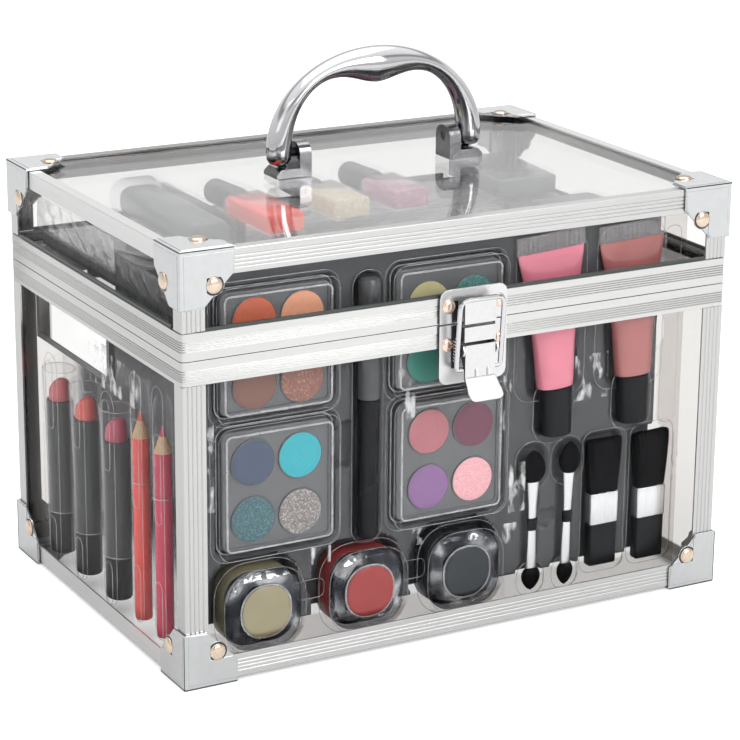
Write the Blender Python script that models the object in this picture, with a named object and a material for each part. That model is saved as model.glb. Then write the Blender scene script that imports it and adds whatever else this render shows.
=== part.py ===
"""Clear make-up train case: aluminium frame, acrylic panels, hinged lid, arch handle, toggle latch, filled trays.

Run with: blender --background --python part.py
Metres, +Z up, +Y towards the hinges. The origin is under the middle of the whole object, on the surface it
stands on. Every length below is in metres.
"""
import math

import bmesh
import bpy
from mathutils import Matrix, Vector

# ---- driving dimensions ----
WIDTH = 0.280  # outside of the corner caps, along X
DEPTH = 0.195  # along Y
HEIGHT = 0.197  # without the handle
SEAM = 0.149  # height of the line between base and lid
GAP = 0.0003  # clearance between pieces that touch

CAP_T = 0.0008  # corner cap sheet
CAP_LEG = 0.0256
CAP_WIDTH = 0.0108
RIVET_FROM_CORNER = 0.0158
RIVET_R = 0.0036
RIVET_H = 0.0014

ANGLE_T = 0.0010  # aluminium angle
ANGLE_FRONT = 0.0110  # ribbed leg
ANGLE_SIDE = 0.0082  # smooth leg on the two ends of the case
ANGLE_LIP = 0.0058  # lip over the top and bottom panels
PANEL_T = 0.0020
RIM_PROUD = 0.0005  # the rims stand this far outside the angles
RIM_WEB = 0.0015
RIM_INNER = 0.0012
RIM_BASE_H = 0.0107
RIM_LID_H = 0.0120
RIM_CORNER_R = 0.0024
GROOVE = 0.00035

HANDLE_X = 0.0145  # middle of the handle on the lid
HANDLE_Y = 0.0160
HANDLE_HALF = 0.0572
HANDLE_RISE = 0.0468
PIVOT_UP = 0.0109  # pivot above the top panel
LUG_IN = 0.0372
LUG_T = 0.0062
BRACKET_OUT = 0.0555
BRACKET_HALF_Y = 0.0068
BRACKET_BASE_T = 0.0042
LUG_TOP = 0.0163
PIN_R = 0.0020

LATCH_X = 0.0020  # middle of the latch
LATCH_PLATE_HALF = 0.0173
LATCH_PLATE_CORNER = 0.0040
LATCH_T = 0.0010
LATCH_BOX_HALF = 0.0081
LATCH_BOX_OUT = 0.0062  # front of the hook and the box, in front of the plates
LEVER_HALF = 0.0077
LEVER_PIVOT_DOWN = 0.0112  # below the seam
LOOP_PIVOT_DOWN = 0.0200
LOOP_TOP_UP = 0.0123
WIRE_R = 0.00115

HINGE_X = 0.085
HINGE_W = 0.030
KNUCKLE_R = 0.0024
HINGE_PIN_R = 0.0010

TRAY_T = 0.0010
FILM_T = 0.0006

# ---- derived places ----
FACE = CAP_T + GAP  # depth of the angles' outer faces behind the caps' faces
PANEL_IN = FACE + ANGLE_T + GAP  # depth of the panels' outer faces
WALL_IN = PANEL_IN + PANEL_T  # depth of the panels' inner faces
RIM_OUT = FACE - RIM_PROUD
RIM_IN = WALL_IN + GAP + RIM_INNER
HALF_W = WIDTH / 2
HALF_D = DEPTH / 2
RIM_FRONT = HALF_D - RIM_OUT
PLATE_BACK = -(RIM_FRONT + GAP)
PLATE_FRONT = PLATE_BACK - LATCH_T
HOOK_FRONT = PLATE_FRONT - LATCH_BOX_OUT
LEVER_TIP_Y = PLATE_FRONT - 0.0136
HINGE_Y = RIM_FRONT + GAP + KNUCKLE_R
PANEL_TOP = HEIGHT - PANEL_IN
CENTRE_Y = -(LEVER_TIP_Y + HINGE_Y + KNUCKLE_R) / 2  # puts the origin under the middle of the whole object

COLOURS = {
    "acrylic": ((0.90, 0.92, 0.93), 0.05, 0.0),
    "aluminium": ((0.80, 0.80, 0.79), 0.32, 1.0),
    "nickel": ((0.72, 0.73, 0.74), 0.18, 1.0),
    "chrome": ((0.78, 0.78, 0.80), 0.06, 1.0),
    "grey_plastic": ((0.09, 0.092, 0.10), 0.45, 0.0),
    "clear_film": ((0.88, 0.90, 0.92), 0.12, 0.0),
    "mirror": ((0.92, 0.92, 0.93), 0.03, 1.0),
}


# ---- materials, empties and small mesh helpers ----
def clear_scene():
    for old in list(bpy.data.objects):
        bpy.data.objects.remove(old, do_unlink=True)


def material(name):
    found = bpy.data.materials.get(name)
    if found:
        return found
    colour, roughness, metallic = COLOURS[name]
    made = bpy.data.materials.new(name)
    made.use_nodes = True
    shader = made.node_tree.nodes["Principled BSDF"]
    shader.inputs["Base Color"].default_value = (*colour, 1.0)
    shader.inputs["Roughness"].default_value = roughness
    shader.inputs["Metallic"].default_value = metallic
    return made


def empty(name, place, parent=None):
    """A named empty at a place given in the case's own frame."""
    made = bpy.data.objects.new(name, None)
    bpy.context.scene.collection.objects.link(made)
    made.parent = parent
    made["place"] = list(place)
    made.location = Vector(place) - (Vector(parent["place"]) if parent else Vector((0, 0, 0)))
    return made


def add(name, bm, colour, parent, place=(0, 0, 0), turn=None, smooth=False):
    """Turns a bmesh into a named object whose origin is at place in the case's frame."""
    bmesh.ops.recalc_face_normals(bm, faces=bm.faces)
    mesh = bpy.data.meshes.new(name)
    bm.to_mesh(mesh)
    bm.free()
    return add_mesh(name, mesh, colour, parent, place, turn, smooth)


def add_mesh(name, mesh, colour, parent, place=(0, 0, 0), turn=None, smooth=False):
    if not mesh.materials:
        mesh.materials.append(material(colour))
    if smooth:
        mesh.shade_smooth()
        mesh.set_sharp_from_angle(angle=math.radians(35))
    made = bpy.data.objects.new(name, mesh)
    bpy.context.scene.collection.objects.link(made)
    made.parent = parent
    made.location = Vector(place) - Vector(parent["place"])
    if turn:
        made.rotation_euler = turn.to_euler()
    return made


def cube_between(bm, low, high):
    """A box between two corners."""
    middle = (Vector(low) + Vector(high)) / 2
    size = Vector(high) - Vector(low)
    matrix = Matrix.Translation(middle) @ Matrix.Diagonal((*size, 1.0))
    return bmesh.ops.create_cube(bm, size=1.0, matrix=matrix)["verts"]


def box(low, high):
    bm = bmesh.new()
    cube_between(bm, low, high)
    return bm


def prism(bm, outline, axis, low, high):
    """Extrudes a closed outline along an axis. The outline holds the two other coordinates, in X, Y, Z order."""
    def spot(pair, along):
        full = list(pair)
        full.insert(axis, along)
        return bm.verts.new(full)

    first = [spot(pair, low) for pair in outline]
    last = [spot(pair, high) for pair in outline]
    bm.faces.new(first)
    bm.faces.new(last)
    for i in range(len(outline)):
        j = (i + 1) % len(outline)
        bm.faces.new((first[i], first[j], last[j], last[i]))


def rod(bm, start, end, radius, sides):
    """A cylinder from start to end."""
    start, end = Vector(start), Vector(end)
    run = end - start
    turn = run.to_track_quat("Z", "Y").to_matrix().to_4x4()
    matrix = Matrix.Translation((start + end) / 2) @ turn
    bmesh.ops.create_cone(
        bm, cap_ends=True, segments=sides, radius1=radius, radius2=radius, depth=run.length, matrix=matrix
    )


def combine(bm, others, operation="UNION"):
    """Joins or cuts a bmesh with others, one after another, and returns the result as a bmesh."""
    for other in others:
        solids = []
        for part in (bm, other):
            bmesh.ops.recalc_face_normals(part, faces=part.faces)
            mesh = bpy.data.meshes.new("solid")
            part.to_mesh(mesh)
            part.free()
            solids.append(bpy.data.objects.new("solid", mesh))
            bpy.context.scene.collection.objects.link(solids[-1])
        modifier = solids[0].modifiers.new("combine", "BOOLEAN")
        modifier.operation = operation
        modifier.solver = "EXACT"
        modifier.object = solids[1]
        result = solids[0].evaluated_get(bpy.context.evaluated_depsgraph_get())
        bm = bmesh.new()
        bm.from_mesh(result.to_mesh())
        for solid in solids:
            bpy.data.objects.remove(solid, do_unlink=True)
        bmesh.ops.remove_doubles(bm, verts=bm.verts, dist=1e-6)
        bmesh.ops.dissolve_limit(bm, angle_limit=0.002, verts=bm.verts, edges=bm.edges)
    return bm


def grooves(start, pitch, count):
    """(distance, depth) points of V grooves along a face."""
    points = []
    for i in range(count):
        at = start + i * pitch
        points += [(at, 0.0), (at + GROOVE, GROOVE), (at + 2 * GROOVE, 0.0)]
    return points


# ---- frame: caps, angles and rims ----
def cap_mesh(riveted):
    """A three-legged corner cap with its corner at the origin, its legs along +X, +Y and +Z, and a rivet on each
    of the faces across the axes in riveted."""
    lobe = [math.radians(a) for a in (0, 30, 60, 90)]
    lobe_r = RIVET_R + 0.0010
    inner = [(CAP_LEG, CAP_WIDTH)]
    inner += [(RIVET_FROM_CORNER + lobe_r * math.cos(a), RIVET_FROM_CORNER + lobe_r * math.sin(a)) for a in lobe]
    inner += [(CAP_WIDTH, CAP_LEG)]
    bm = bmesh.new()
    for axis in range(3):
        u, v = (axis + 1) % 3, (axis + 2) % 3
        face = []
        for pair in [(0.0, 0.0), (CAP_LEG, 0.0), *inner, (0.0, CAP_LEG)]:
            spot = [0.0, 0.0, 0.0]
            spot[u], spot[v] = pair
            face.append(bm.verts.new(spot))
        bm.faces.new(face)
    bmesh.ops.remove_doubles(bm, verts=bm.verts, dist=1e-6)
    bmesh.ops.recalc_face_normals(bm, faces=bm.faces)
    outside = [f for f in bm.faces if f.normal.dot(Vector((1, 1, 1))) > 0]
    bmesh.ops.reverse_faces(bm, faces=outside)
    bmesh.ops.solidify(bm, geom=bm.faces[:], thickness=CAP_T)
    rivets = []
    for axis in riveted:
        u, v = (axis + 1) % 3, (axis + 2) % 3
        centre = [0.0, 0.0, 0.0]
        centre[u] = centre[v] = RIVET_FROM_CORNER
        rivets.append(rivet(centre, axis))
    bm = combine(bm, rivets)
    bmesh.ops.recalc_face_normals(bm, faces=bm.faces)
    mesh = bpy.data.meshes.new("corner_cap")
    bm.to_mesh(mesh)
    bm.free()
    return mesh


def rivet(centre, axis):
    """A low domed rivet head that stands out of a face towards the minus side of an axis."""
    sides = 10
    bm = bmesh.new()
    u, v = (axis + 1) % 3, (axis + 2) % 3
    rings = []
    for radius, up in ((RIVET_R, -CAP_T / 2), (RIVET_R, RIVET_H * 0.35), (RIVET_R * 0.62, RIVET_H)):
        ring = []
        for i in range(sides):
            turn = 2 * math.pi * (i + 0.5) / sides
            spot = list(centre)
            spot[u] += radius * math.cos(turn)
            spot[v] += radius * math.sin(turn)
            spot[axis] -= up
            ring.append(bm.verts.new(spot))
        rings.append(ring)
    bm.faces.new(rings[0])
    bm.faces.new(rings[-1])
    for low, high in zip(rings, rings[1:]):
        for i in range(sides):
            j = (i + 1) % sides
            bm.faces.new((low[i], low[j], high[j], high[i]))
    return bm


def make_caps(base, lid):
    flat_footed = cap_mesh((0, 1))
    full = cap_mesh((0, 1, 2))
    corners = (("front_left", -1, -1, 0), ("front_right", 1, -1, 90), ("back_right", 1, 1, 180), ("back_left", -1, 1, -90))
    for name, sx, sy, degrees in corners:
        spin = Matrix.Rotation(math.radians(degrees), 4, "Z")
        place = (sx * HALF_W, sy * HALF_D)
        add_mesh("base_cap_" + name, flat_footed, "nickel", base, (*place, 0.0), spin)
        over = spin @ Matrix.Rotation(math.radians(90), 4, "Z") @ Matrix.Rotation(math.pi, 4, "X")
        add_mesh("lid_cap_" + name, full, "nickel", lid, (*place, HEIGHT), over)


def angle_profile(ribbed, plain, cuts):
    """(y, z) outline of an angle: one leg hangs down from the corner at the origin, the other runs inwards."""
    points = [(0.0003, 0.0), (0.0, -0.0003)]
    points += [(depth, -along) for along, depth in cuts]
    points += [(0.0, -ribbed), (ANGLE_T, -ribbed), (ANGLE_T, -ANGLE_T), (plain, -ANGLE_T), (plain, 0.0)]
    return points


def angle(name, parent, length, profile, place, turn):
    bm = bmesh.new()
    prism(bm, profile, 0, -length / 2, length / 2)
    add(name, bm, "aluminium", parent, place, turn)


def make_angles(base, lid):
    front = angle_profile(ANGLE_FRONT, ANGLE_LIP, grooves(0.0030, 0.0017, 4))
    side = angle_profile(ANGLE_SIDE, ANGLE_LIP, [])
    long_run = WIDTH - 2 * FACE
    short_run = DEPTH - 2 * (FACE + ANGLE_LIP + GAP)
    over = Matrix.Rotation(math.pi, 4, "Y")
    edges = (("front", 0, -1, 0, long_run, front), ("back", 0, 1, 180, long_run, front),
             ("left", -1, 0, -90, short_run, side), ("right", 1, 0, 90, short_run, side))
    for name, sx, sy, degrees, run, profile in edges:
        spin = Matrix.Rotation(math.radians(degrees), 4, "Z")
        place = (sx * (HALF_W - FACE), sy * (HALF_D - FACE))
        angle("lid_top_rail_" + name, lid, run, profile, (*place, HEIGHT - FACE), spin)
        angle("base_bottom_rail_" + name, base, run, profile, (*place, FACE), spin @ over)

    post = angle_profile(ANGLE_FRONT, ANGLE_SIDE, grooves(0.0022, 0.0021, 4))
    clear = FACE + ANGLE_FRONT + GAP
    spans = (("base_post_", base, clear, SEAM - GAP / 2 - RIM_BASE_H - GAP),
             ("lid_post_", lid, SEAM + GAP / 2 + RIM_LID_H + GAP, HEIGHT - clear))
    corners = (("front_left", -1, -1, 0, -90), ("front_right", 1, -1, 0, 90),
               ("back_right", 1, 1, 180, -90), ("back_left", -1, 1, 180, 90))
    for name, sx, sy, spin, tilt in corners:
        turn = Matrix.Rotation(math.radians(spin), 4, "Z") @ Matrix.Rotation(math.radians(tilt), 4, "Y")
        for prefix, parent, low, high in spans:
            place = (sx * (HALF_W - FACE), sy * (HALF_D - FACE), (low + high) / 2)
            angle(prefix + name, parent, high - low, post, place, turn)


def rim_path(depth):
    """Corner points of the rim's outline at a depth inside the caps' faces, counter-clockwise."""
    radius = max(RIM_CORNER_R - (depth - RIM_OUT), 0.0001)
    points = []
    for sx, sy, first in ((1, -1, -90), (1, 1, 0), (-1, 1, 90), (-1, -1, 180)):
        cx = sx * (HALF_W - depth - radius)
        cy = sy * (HALF_D - depth - radius)
        for step in range(3):
            turn = math.radians(first + 45 * step)
            points.append((cx + radius * math.cos(turn), cy + radius * math.sin(turn)))
    return points


def rim(name, parent, seam, height, up):
    """A channel that grips the walls' edges. up is 1 for the lid's rim, whose web is at its bottom."""
    cuts = grooves(0.0038, 0.00107, 5)
    inner_leg = 0.0072
    outline = [(RIM_OUT, 0.0)]
    outline += [(RIM_OUT + depth, along) for along, depth in cuts]
    outline += [(RIM_OUT, height), (PANEL_IN - GAP, height), (PANEL_IN - GAP, RIM_WEB), (WALL_IN + GAP, RIM_WEB)]
    outline += [(WALL_IN + GAP, inner_leg), (RIM_IN, inner_leg), (RIM_IN, 0.0)]
    bm = bmesh.new()
    loops = []
    for depth, along in outline:
        loops.append([bm.verts.new((x, y, seam + up * along)) for x, y in rim_path(depth)])
    count = len(loops[0])
    for i, ring in enumerate(loops):
        following = loops[(i + 1) % len(loops)]
        for k in range(count):
            n = (k + 1) % count
            bm.faces.new((ring[k], ring[n], following[n], following[k]))
    add(name, bm, "aluminium", parent)


def make_panels(base, lid):
    x_out, y_out = HALF_W - PANEL_IN, HALF_D - PANEL_IN
    x_in, y_in = HALF_W - WALL_IN, HALF_D - WALL_IN - GAP
    floor, roof = PANEL_IN + PANEL_T, PANEL_TOP - PANEL_T
    edge = RIM_WEB + GAP + GAP / 2
    add("base_floor_panel", box((-x_out, -y_out, PANEL_IN), (x_out, y_out, floor)), "acrylic", base)
    add("lid_top_panel", box((-x_out, -y_out, roof), (x_out, y_out, PANEL_TOP)), "acrylic", lid)
    spans = (("base_", base, floor + GAP, SEAM - edge), ("lid_", lid, SEAM + edge, roof - GAP))
    for prefix, parent, low, high in spans:
        for name, sign in (("front", -1), ("back", 1)):
            ys = sorted((sign * y_out, sign * (y_out - PANEL_T)))
            add(f"{prefix}{name}_panel", box((-x_out, ys[0], low), (x_out, ys[1], high)), "acrylic", parent)
        for name, sign in (("left", -1), ("right", 1)):
            xs = sorted((sign * x_out, sign * x_in))
            add(f"{prefix}{name}_panel", box((xs[0], -y_in, low), (xs[1], y_in, high)), "acrylic", parent)


# ---- handle ----
def handle_section(degrees):
    """Centre, inward direction, thickness and width of the handle at an angle round its arch."""
    turn = math.radians(degrees)
    outer = Vector((-HANDLE_HALF * math.cos(turn), 0.0, HANDLE_RISE * math.sin(turn)))
    inward = Vector((math.cos(turn) / HANDLE_HALF, 0.0, -math.sin(turn) / HANDLE_RISE)).normalized()
    side = min(degrees, 180 - degrees)
    ease = min(max(side / 58, 0.0), 1.0)
    ease = ease * ease * (3 - 2 * ease)
    bulge = math.exp(-(((degrees - 90) / 22) ** 2))
    thick = 0.0122 - 0.0052 * ease + 0.0104 * bulge
    width = 0.0120 - 0.0010 * ease + 0.0036 * bulge
    return outer + inward * thick / 2, inward, thick, width


def handle_grip():
    """The arch, lofted from one rounded foot over the grip to the other foot."""
    sides = 24
    steps = 44
    stations = []
    foot = ((-0.0056, 0.35), (-0.0047, 0.72), (-0.0027, 0.95))
    for drop, scale in foot:
        centre, inward, thick, width = handle_section(0)
        stations.append((centre + Vector((0, 0, drop)), inward, thick * scale, width * scale))
    stations += [handle_section(180 * i / steps) for i in range(steps + 1)]
    for drop, scale in reversed(foot):
        centre, inward, thick, width = handle_section(180)
        stations.append((centre + Vector((0, 0, drop)), inward, thick * scale, width * scale))
    bm = bmesh.new()
    rings = []
    for centre, inward, thick, width in stations:
        ring = []
        for k in range(sides):
            turn = 2 * math.pi * k / sides
            spot = centre + inward * (thick / 2 * math.cos(turn))
            spot += Vector((0, width / 2 * math.sin(turn), 0))
            ring.append(bm.verts.new(spot))
        rings.append(ring)
    bm.faces.new(rings[0])
    bm.faces.new(rings[-1])
    for low, high in zip(rings, rings[1:]):
        for k in range(sides):
            n = (k + 1) % sides
            bm.faces.new((low[k], low[n], high[n], high[k]))
    bores = []
    for sign in (-1, 1):
        bore = bmesh.new()
        rod(bore, (sign * (LUG_IN + LUG_T), 0, 0), (sign * 0.0505, 0, 0), PIN_R + 0.0002, 12)
        bores.append(bore)
    return combine(bm, bores, "DIFFERENCE")


def handle_bracket(sign):
    """An L-shaped block: a round-topped lug and a foot that is screwed to the lid. Its origin is on the pivot."""
    foot = -PIVOT_UP + GAP
    step = foot + BRACKET_BASE_T
    top = LUG_TOP - PIVOT_UP
    radius = BRACKET_HALF_Y
    lug = [(-radius, foot), (radius, foot)]
    for k in range(7):
        turn = math.pi * k / 6
        lug.append((radius * math.cos(turn), top - radius * 0.75 + radius * 0.75 * math.sin(turn)))
    bm = bmesh.new()
    xs = sorted((sign * LUG_IN, sign * (LUG_IN + LUG_T)))
    prism(bm, lug, 0, *xs)
    base = bmesh.new()
    chamfer = 0.0025
    inner = LUG_IN + LUG_T / 2
    outline = [(inner, foot), (BRACKET_OUT, foot), (BRACKET_OUT, step - chamfer), (BRACKET_OUT - chamfer, step)]
    outline += [(inner, step)]
    prism(base, [(sign * x, z) for x, z in outline], 1, -radius, radius)
    bm = combine(bm, [base])
    hole = bmesh.new()
    rod(hole, (xs[0] - 0.001, 0, 0), (xs[1] + 0.001, 0, 0), PIN_R + 0.0002, 12)
    return combine(bm, [hole], "DIFFERENCE")


def make_handle(lid, swing):
    pivot = swing["place"]
    add("handle_grip", handle_grip(), "chrome", swing, pivot, smooth=True)
    for name, sign in (("left", -1), ("right", 1)):
        add("handle_bracket_" + name, handle_bracket(sign), "chrome", lid, pivot)
        pin = bmesh.new()
        rod(pin, (sign * (LUG_IN + 0.0002), 0, 0), (sign * 0.0500, 0, 0), PIN_R, 12)
        add("handle_pin_" + name, pin, "chrome", lid, pivot, smooth=True)


# ---- latch ----
def latch_plate(square_z, round_z):
    """A sheet with square corners at one height, next to the seam, and rounded ones at the other."""
    half, corner = LATCH_PLATE_HALF, LATCH_PLATE_CORNER
    way = 1 if round_z > square_z else -1
    outline = [(-half, square_z), (half, square_z)]
    quarter = [math.radians(30 * k) for k in range(4)]
    for sx, turns in ((1, quarter), (-1, quarter[::-1])):
        for turn in turns:
            x = half - corner + corner * math.cos(turn)
            outline.append((sx * x, round_z - way * corner * (1 - math.sin(turn))))
    bm = bmesh.new()
    prism(bm, outline, 1, PLATE_FRONT, PLATE_BACK)
    return bm


def latch_keeper():
    """The lid's plate and its hook, a strip bent out and up."""
    low = SEAM + GAP
    bm = latch_plate(low, SEAM + 0.0158)
    strip = bmesh.new()
    thick = 0.0013
    top = SEAM + 0.0108
    outline = [(PLATE_FRONT + 0.0005, low + 0.0005), (HOOK_FRONT, low + 0.0005), (HOOK_FRONT, top)]
    outline += [(HOOK_FRONT + thick, top), (HOOK_FRONT + thick, low + 0.0005 + thick)]
    outline += [(PLATE_FRONT + 0.0005, low + 0.0005 + thick)]
    prism(strip, outline, 0, -LATCH_BOX_HALF, LATCH_BOX_HALF)
    return combine(bm, [strip])


def latch_base_plate(pivot):
    """The base's plate with a box under the hook and two ears that hold the lever's pin."""
    bm = latch_plate(SEAM - GAP, SEAM - 0.0277)
    head = box((-LATCH_BOX_HALF, HOOK_FRONT, SEAM - 0.0074), (LATCH_BOX_HALF, PLATE_FRONT + 0.0005, SEAM - 0.0006))
    parts = [head]
    for sign in (-1, 1):
        xs = sorted((sign * (LEVER_HALF + GAP), sign * (LEVER_HALF + GAP + 0.0010)))
        ear = bmesh.new()
        reach, radius = PLATE_FRONT + 0.0005, 0.0032
        shape = [(reach, pivot[2] + radius), (pivot[1], pivot[2] + radius)]
        for k in range(1, 4):
            turn = math.radians(90 + 45 * k)
            shape.append((pivot[1] + radius * math.cos(turn), pivot[2] + radius * math.sin(turn)))
        shape += [(pivot[1], pivot[2] - radius), (reach, pivot[2] - radius)]
        shape = list(dict.fromkeys((round(y, 7), round(z, 7)) for y, z in shape))
        prism(ear, shape, 0, *xs)
        parts.append(ear)
    bm = combine(bm, parts)
    hole = bmesh.new()
    rod(hole, (-0.012, pivot[1], pivot[2]), (0.012, pivot[1], pivot[2]), 0.0013, 12)
    return combine(bm, [hole], "DIFFERENCE")


def latch_lever(pivot):
    """A sheet lever with two cheeks round its pin and a flared finger tab, in the frame of its pivot."""
    face = HOOK_FRONT - 0.0004 - pivot[1]
    thick = 0.0011
    top = 0.0024
    bend = -0.0132
    tip_y = LEVER_TIP_Y - pivot[1]
    tip_z = bend - 0.0078
    bm = bmesh.new()
    prism(bm, [(face, top), (face, bend), (face + thick, bend), (face + thick, top)], 0, -LEVER_HALF, LEVER_HALF)
    tab = bmesh.new()
    rows = [(face, bend + 0.0004, 0.0077), (face - 0.0018, bend - 0.0014, 0.0079)]
    start_y, start_z = rows[-1][:2]
    for along, half in ((0.60, 0.0088), (0.80, 0.0085), (0.93, 0.0076), (1.0, 0.0062)):
        rows.append((start_y + along * (tip_y - start_y), start_z + along * (tip_z - start_z), half))
    rings = []
    for y, z, half in rows:
        rings.append([tab.verts.new(p) for p in ((-half, y, z), (half, y, z), (half, y + thick, z - 0.0003),
                                                 (-half, y + thick, z - 0.0003))])
    tab.faces.new(rings[0])
    tab.faces.new(rings[-1])
    for low, high in zip(rings, rings[1:]):
        for k in range(4):
            n = (k + 1) % 4
            tab.faces.new((low[k], low[n], high[n], high[k]))
    parts = [tab]
    for sign in (-1, 1):
        xs = sorted((sign * (LEVER_HALF - 0.0010), sign * LEVER_HALF))
        cheek = bmesh.new()
        shape = [(face + 0.0003, top), (0.0018, top), (0.0024, 0.0004), (0.0018, -0.0018), (face + 0.0003, bend + 0.001)]
        prism(cheek, shape, 0, *xs)
        parts.append(cheek)
    bm = combine(bm, parts)
    hole = bmesh.new()
    rod(hole, (-0.012, 0, 0), (0.012, 0, 0), 0.0013, 12)
    return combine(bm, [hole], "DIFFERENCE")


def wire_path(points, radius, steps=3):
    """Points of an open path whose inner corners are rounded to a radius."""
    path = [Vector(points[0])]
    for before, corner, after in zip(points, points[1:], points[2:]):
        before, corner, after = Vector(before), Vector(corner), Vector(after)
        a = corner + (before - corner).normalized() * radius
        b = corner + (after - corner).normalized() * radius
        for k in range(steps + 1):
            t = k / steps
            path.append(a.lerp(corner, t).lerp(corner.lerp(b, t), t))
    path.append(Vector(points[-1]))
    return path


def latch_loop(pivot):
    """A bent wire: from one side of the lever up, across in front of the hook and down to the other side."""
    half = 0.0112
    end = LEVER_HALF + GAP
    top_y = HOOK_FRONT - GAP - WIRE_R - pivot[1]
    top_z = SEAM + LOOP_TOP_UP - pivot[2]
    corners = [(-end, 0, 0), (-half, 0, 0), (-half, top_y, top_z), (half, top_y, top_z), (half, 0, 0), (end, 0, 0)]
    inner = wire_path(corners[1:5], 0.0040)
    path = [Vector(corners[0])] + wire_path(corners[:3], 0.0015, 2)[1:-1]
    path += inner[1:-1] + wire_path(corners[3:], 0.0015, 2)[1:-1] + [Vector(corners[5])]
    sides = 8
    bm = bmesh.new()
    rings = []
    for i, spot in enumerate(path):
        ahead = path[min(i + 1, len(path) - 1)]
        behind = path[max(i - 1, 0)]
        along = (ahead - behind).normalized()
        across = Vector((0, top_z, -top_y)).normalized()
        across = (across - along * along.dot(across))
        if across.length < 1e-3:
            across = Vector((1, 0, 0))
        across.normalize()
        ring = []
        for k in range(sides):
            turn = 2 * math.pi * (k + 0.5) / sides
            normal = along.cross(across)
            ring.append(bm.verts.new(spot + WIRE_R * (math.cos(turn) * across + math.sin(turn) * normal)))
        rings.append(ring)
    bm.faces.new(rings[0])
    bm.faces.new(rings[-1])
    for low, high in zip(rings, rings[1:]):
        for k in range(sides):
            n = (k + 1) % sides
            bm.faces.new((low[k], low[n], high[n], high[k]))
    return bm


def make_latch(base, lid, lever, loop):
    pivot = Vector(lever["place"])
    add("latch_keeper", latch_keeper(), "chrome", lid, (LATCH_X, 0, 0))
    add("latch_base_plate", latch_base_plate(pivot), "chrome", base, (LATCH_X, 0, 0))
    add("latch_lever", latch_lever(pivot), "chrome", lever, pivot)
    add("latch_loop", latch_loop(Vector(loop["place"])), "chrome", loop, loop["place"], smooth=True)
    pin = bmesh.new()
    reach = LEVER_HALF + GAP + 0.0010
    rod(pin, (-reach, 0, 0), (reach, 0, 0), 0.0011, 12)
    add("latch_pin", pin, "chrome", base, pivot, smooth=True)


# ---- hinges ----
def hinge_leaf(up):
    """One leaf with its knuckles, in the frame of the hinge pin. up is 1 for the lid's leaf."""
    third = HINGE_W / 3
    flat_in, flat_out = -KNUCKLE_R, -KNUCKLE_R + 0.0010
    clear = KNUCKLE_R + 0.0008
    half = HINGE_W / 2
    bm = bmesh.new()
    zs = sorted((up * clear, up * 0.0160))
    cube_between(bm, (-half, flat_in, zs[0]), (half, flat_out, zs[1]))
    spans = [(-third / 2 + GAP / 2, third / 2 - GAP / 2)] if up > 0 else [
        (-half, -third / 2 - GAP / 2), (third / 2 + GAP / 2, half)]
    parts = []
    for low, high in spans:
        neck = sorted((0.0, up * (clear + 0.0005)))
        parts.append(box((low, flat_in, neck[0]), (high, flat_out, neck[1])))
        knuckle = bmesh.new()
        rod(knuckle, (low, 0, 0), (high, 0, 0), KNUCKLE_R, 16)
        parts.append(knuckle)
    bm = combine(bm, parts)
    hole = bmesh.new()
    rod(hole, (-half - 0.001, 0, 0), (half + 0.001, 0, 0), HINGE_PIN_R + 0.0001, 12)
    return combine(bm, [hole], "DIFFERENCE")


def make_hinges(base, lid):
    for name, sign in (("left", -1), ("right", 1)):
        place = (sign * HINGE_X, HINGE_Y, SEAM)
        add(f"hinge_{name}_base_leaf", hinge_leaf(-1), "nickel", base, place)
        add(f"hinge_{name}_lid_leaf", hinge_leaf(1), "nickel", lid, place)
        pin = bmesh.new()
        rod(pin, (-HINGE_W / 2 + 0.0002, 0, 0), (HINGE_W / 2 - 0.0002, 0, 0), HINGE_PIN_R, 12)
        add(f"hinge_{name}_pin", pin, "nickel", base, place, smooth=True)


# ---- trays and mirror ----
def pan(low, high, opening, thickness):
    """A shallow box with one open side. opening is an axis and a sign, such as (1, 1) for the +Y side."""
    bm = box(low, high)
    axis, sign = opening
    inside_low = [c + thickness for c in low]
    inside_high = [c - thickness for c in high]
    if sign > 0:
        inside_high[axis] = high[axis] + 0.001
    else:
        inside_low[axis] = low[axis] - 0.001
    return combine(bm, [box(inside_low, inside_high)], "DIFFERENCE")


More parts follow.
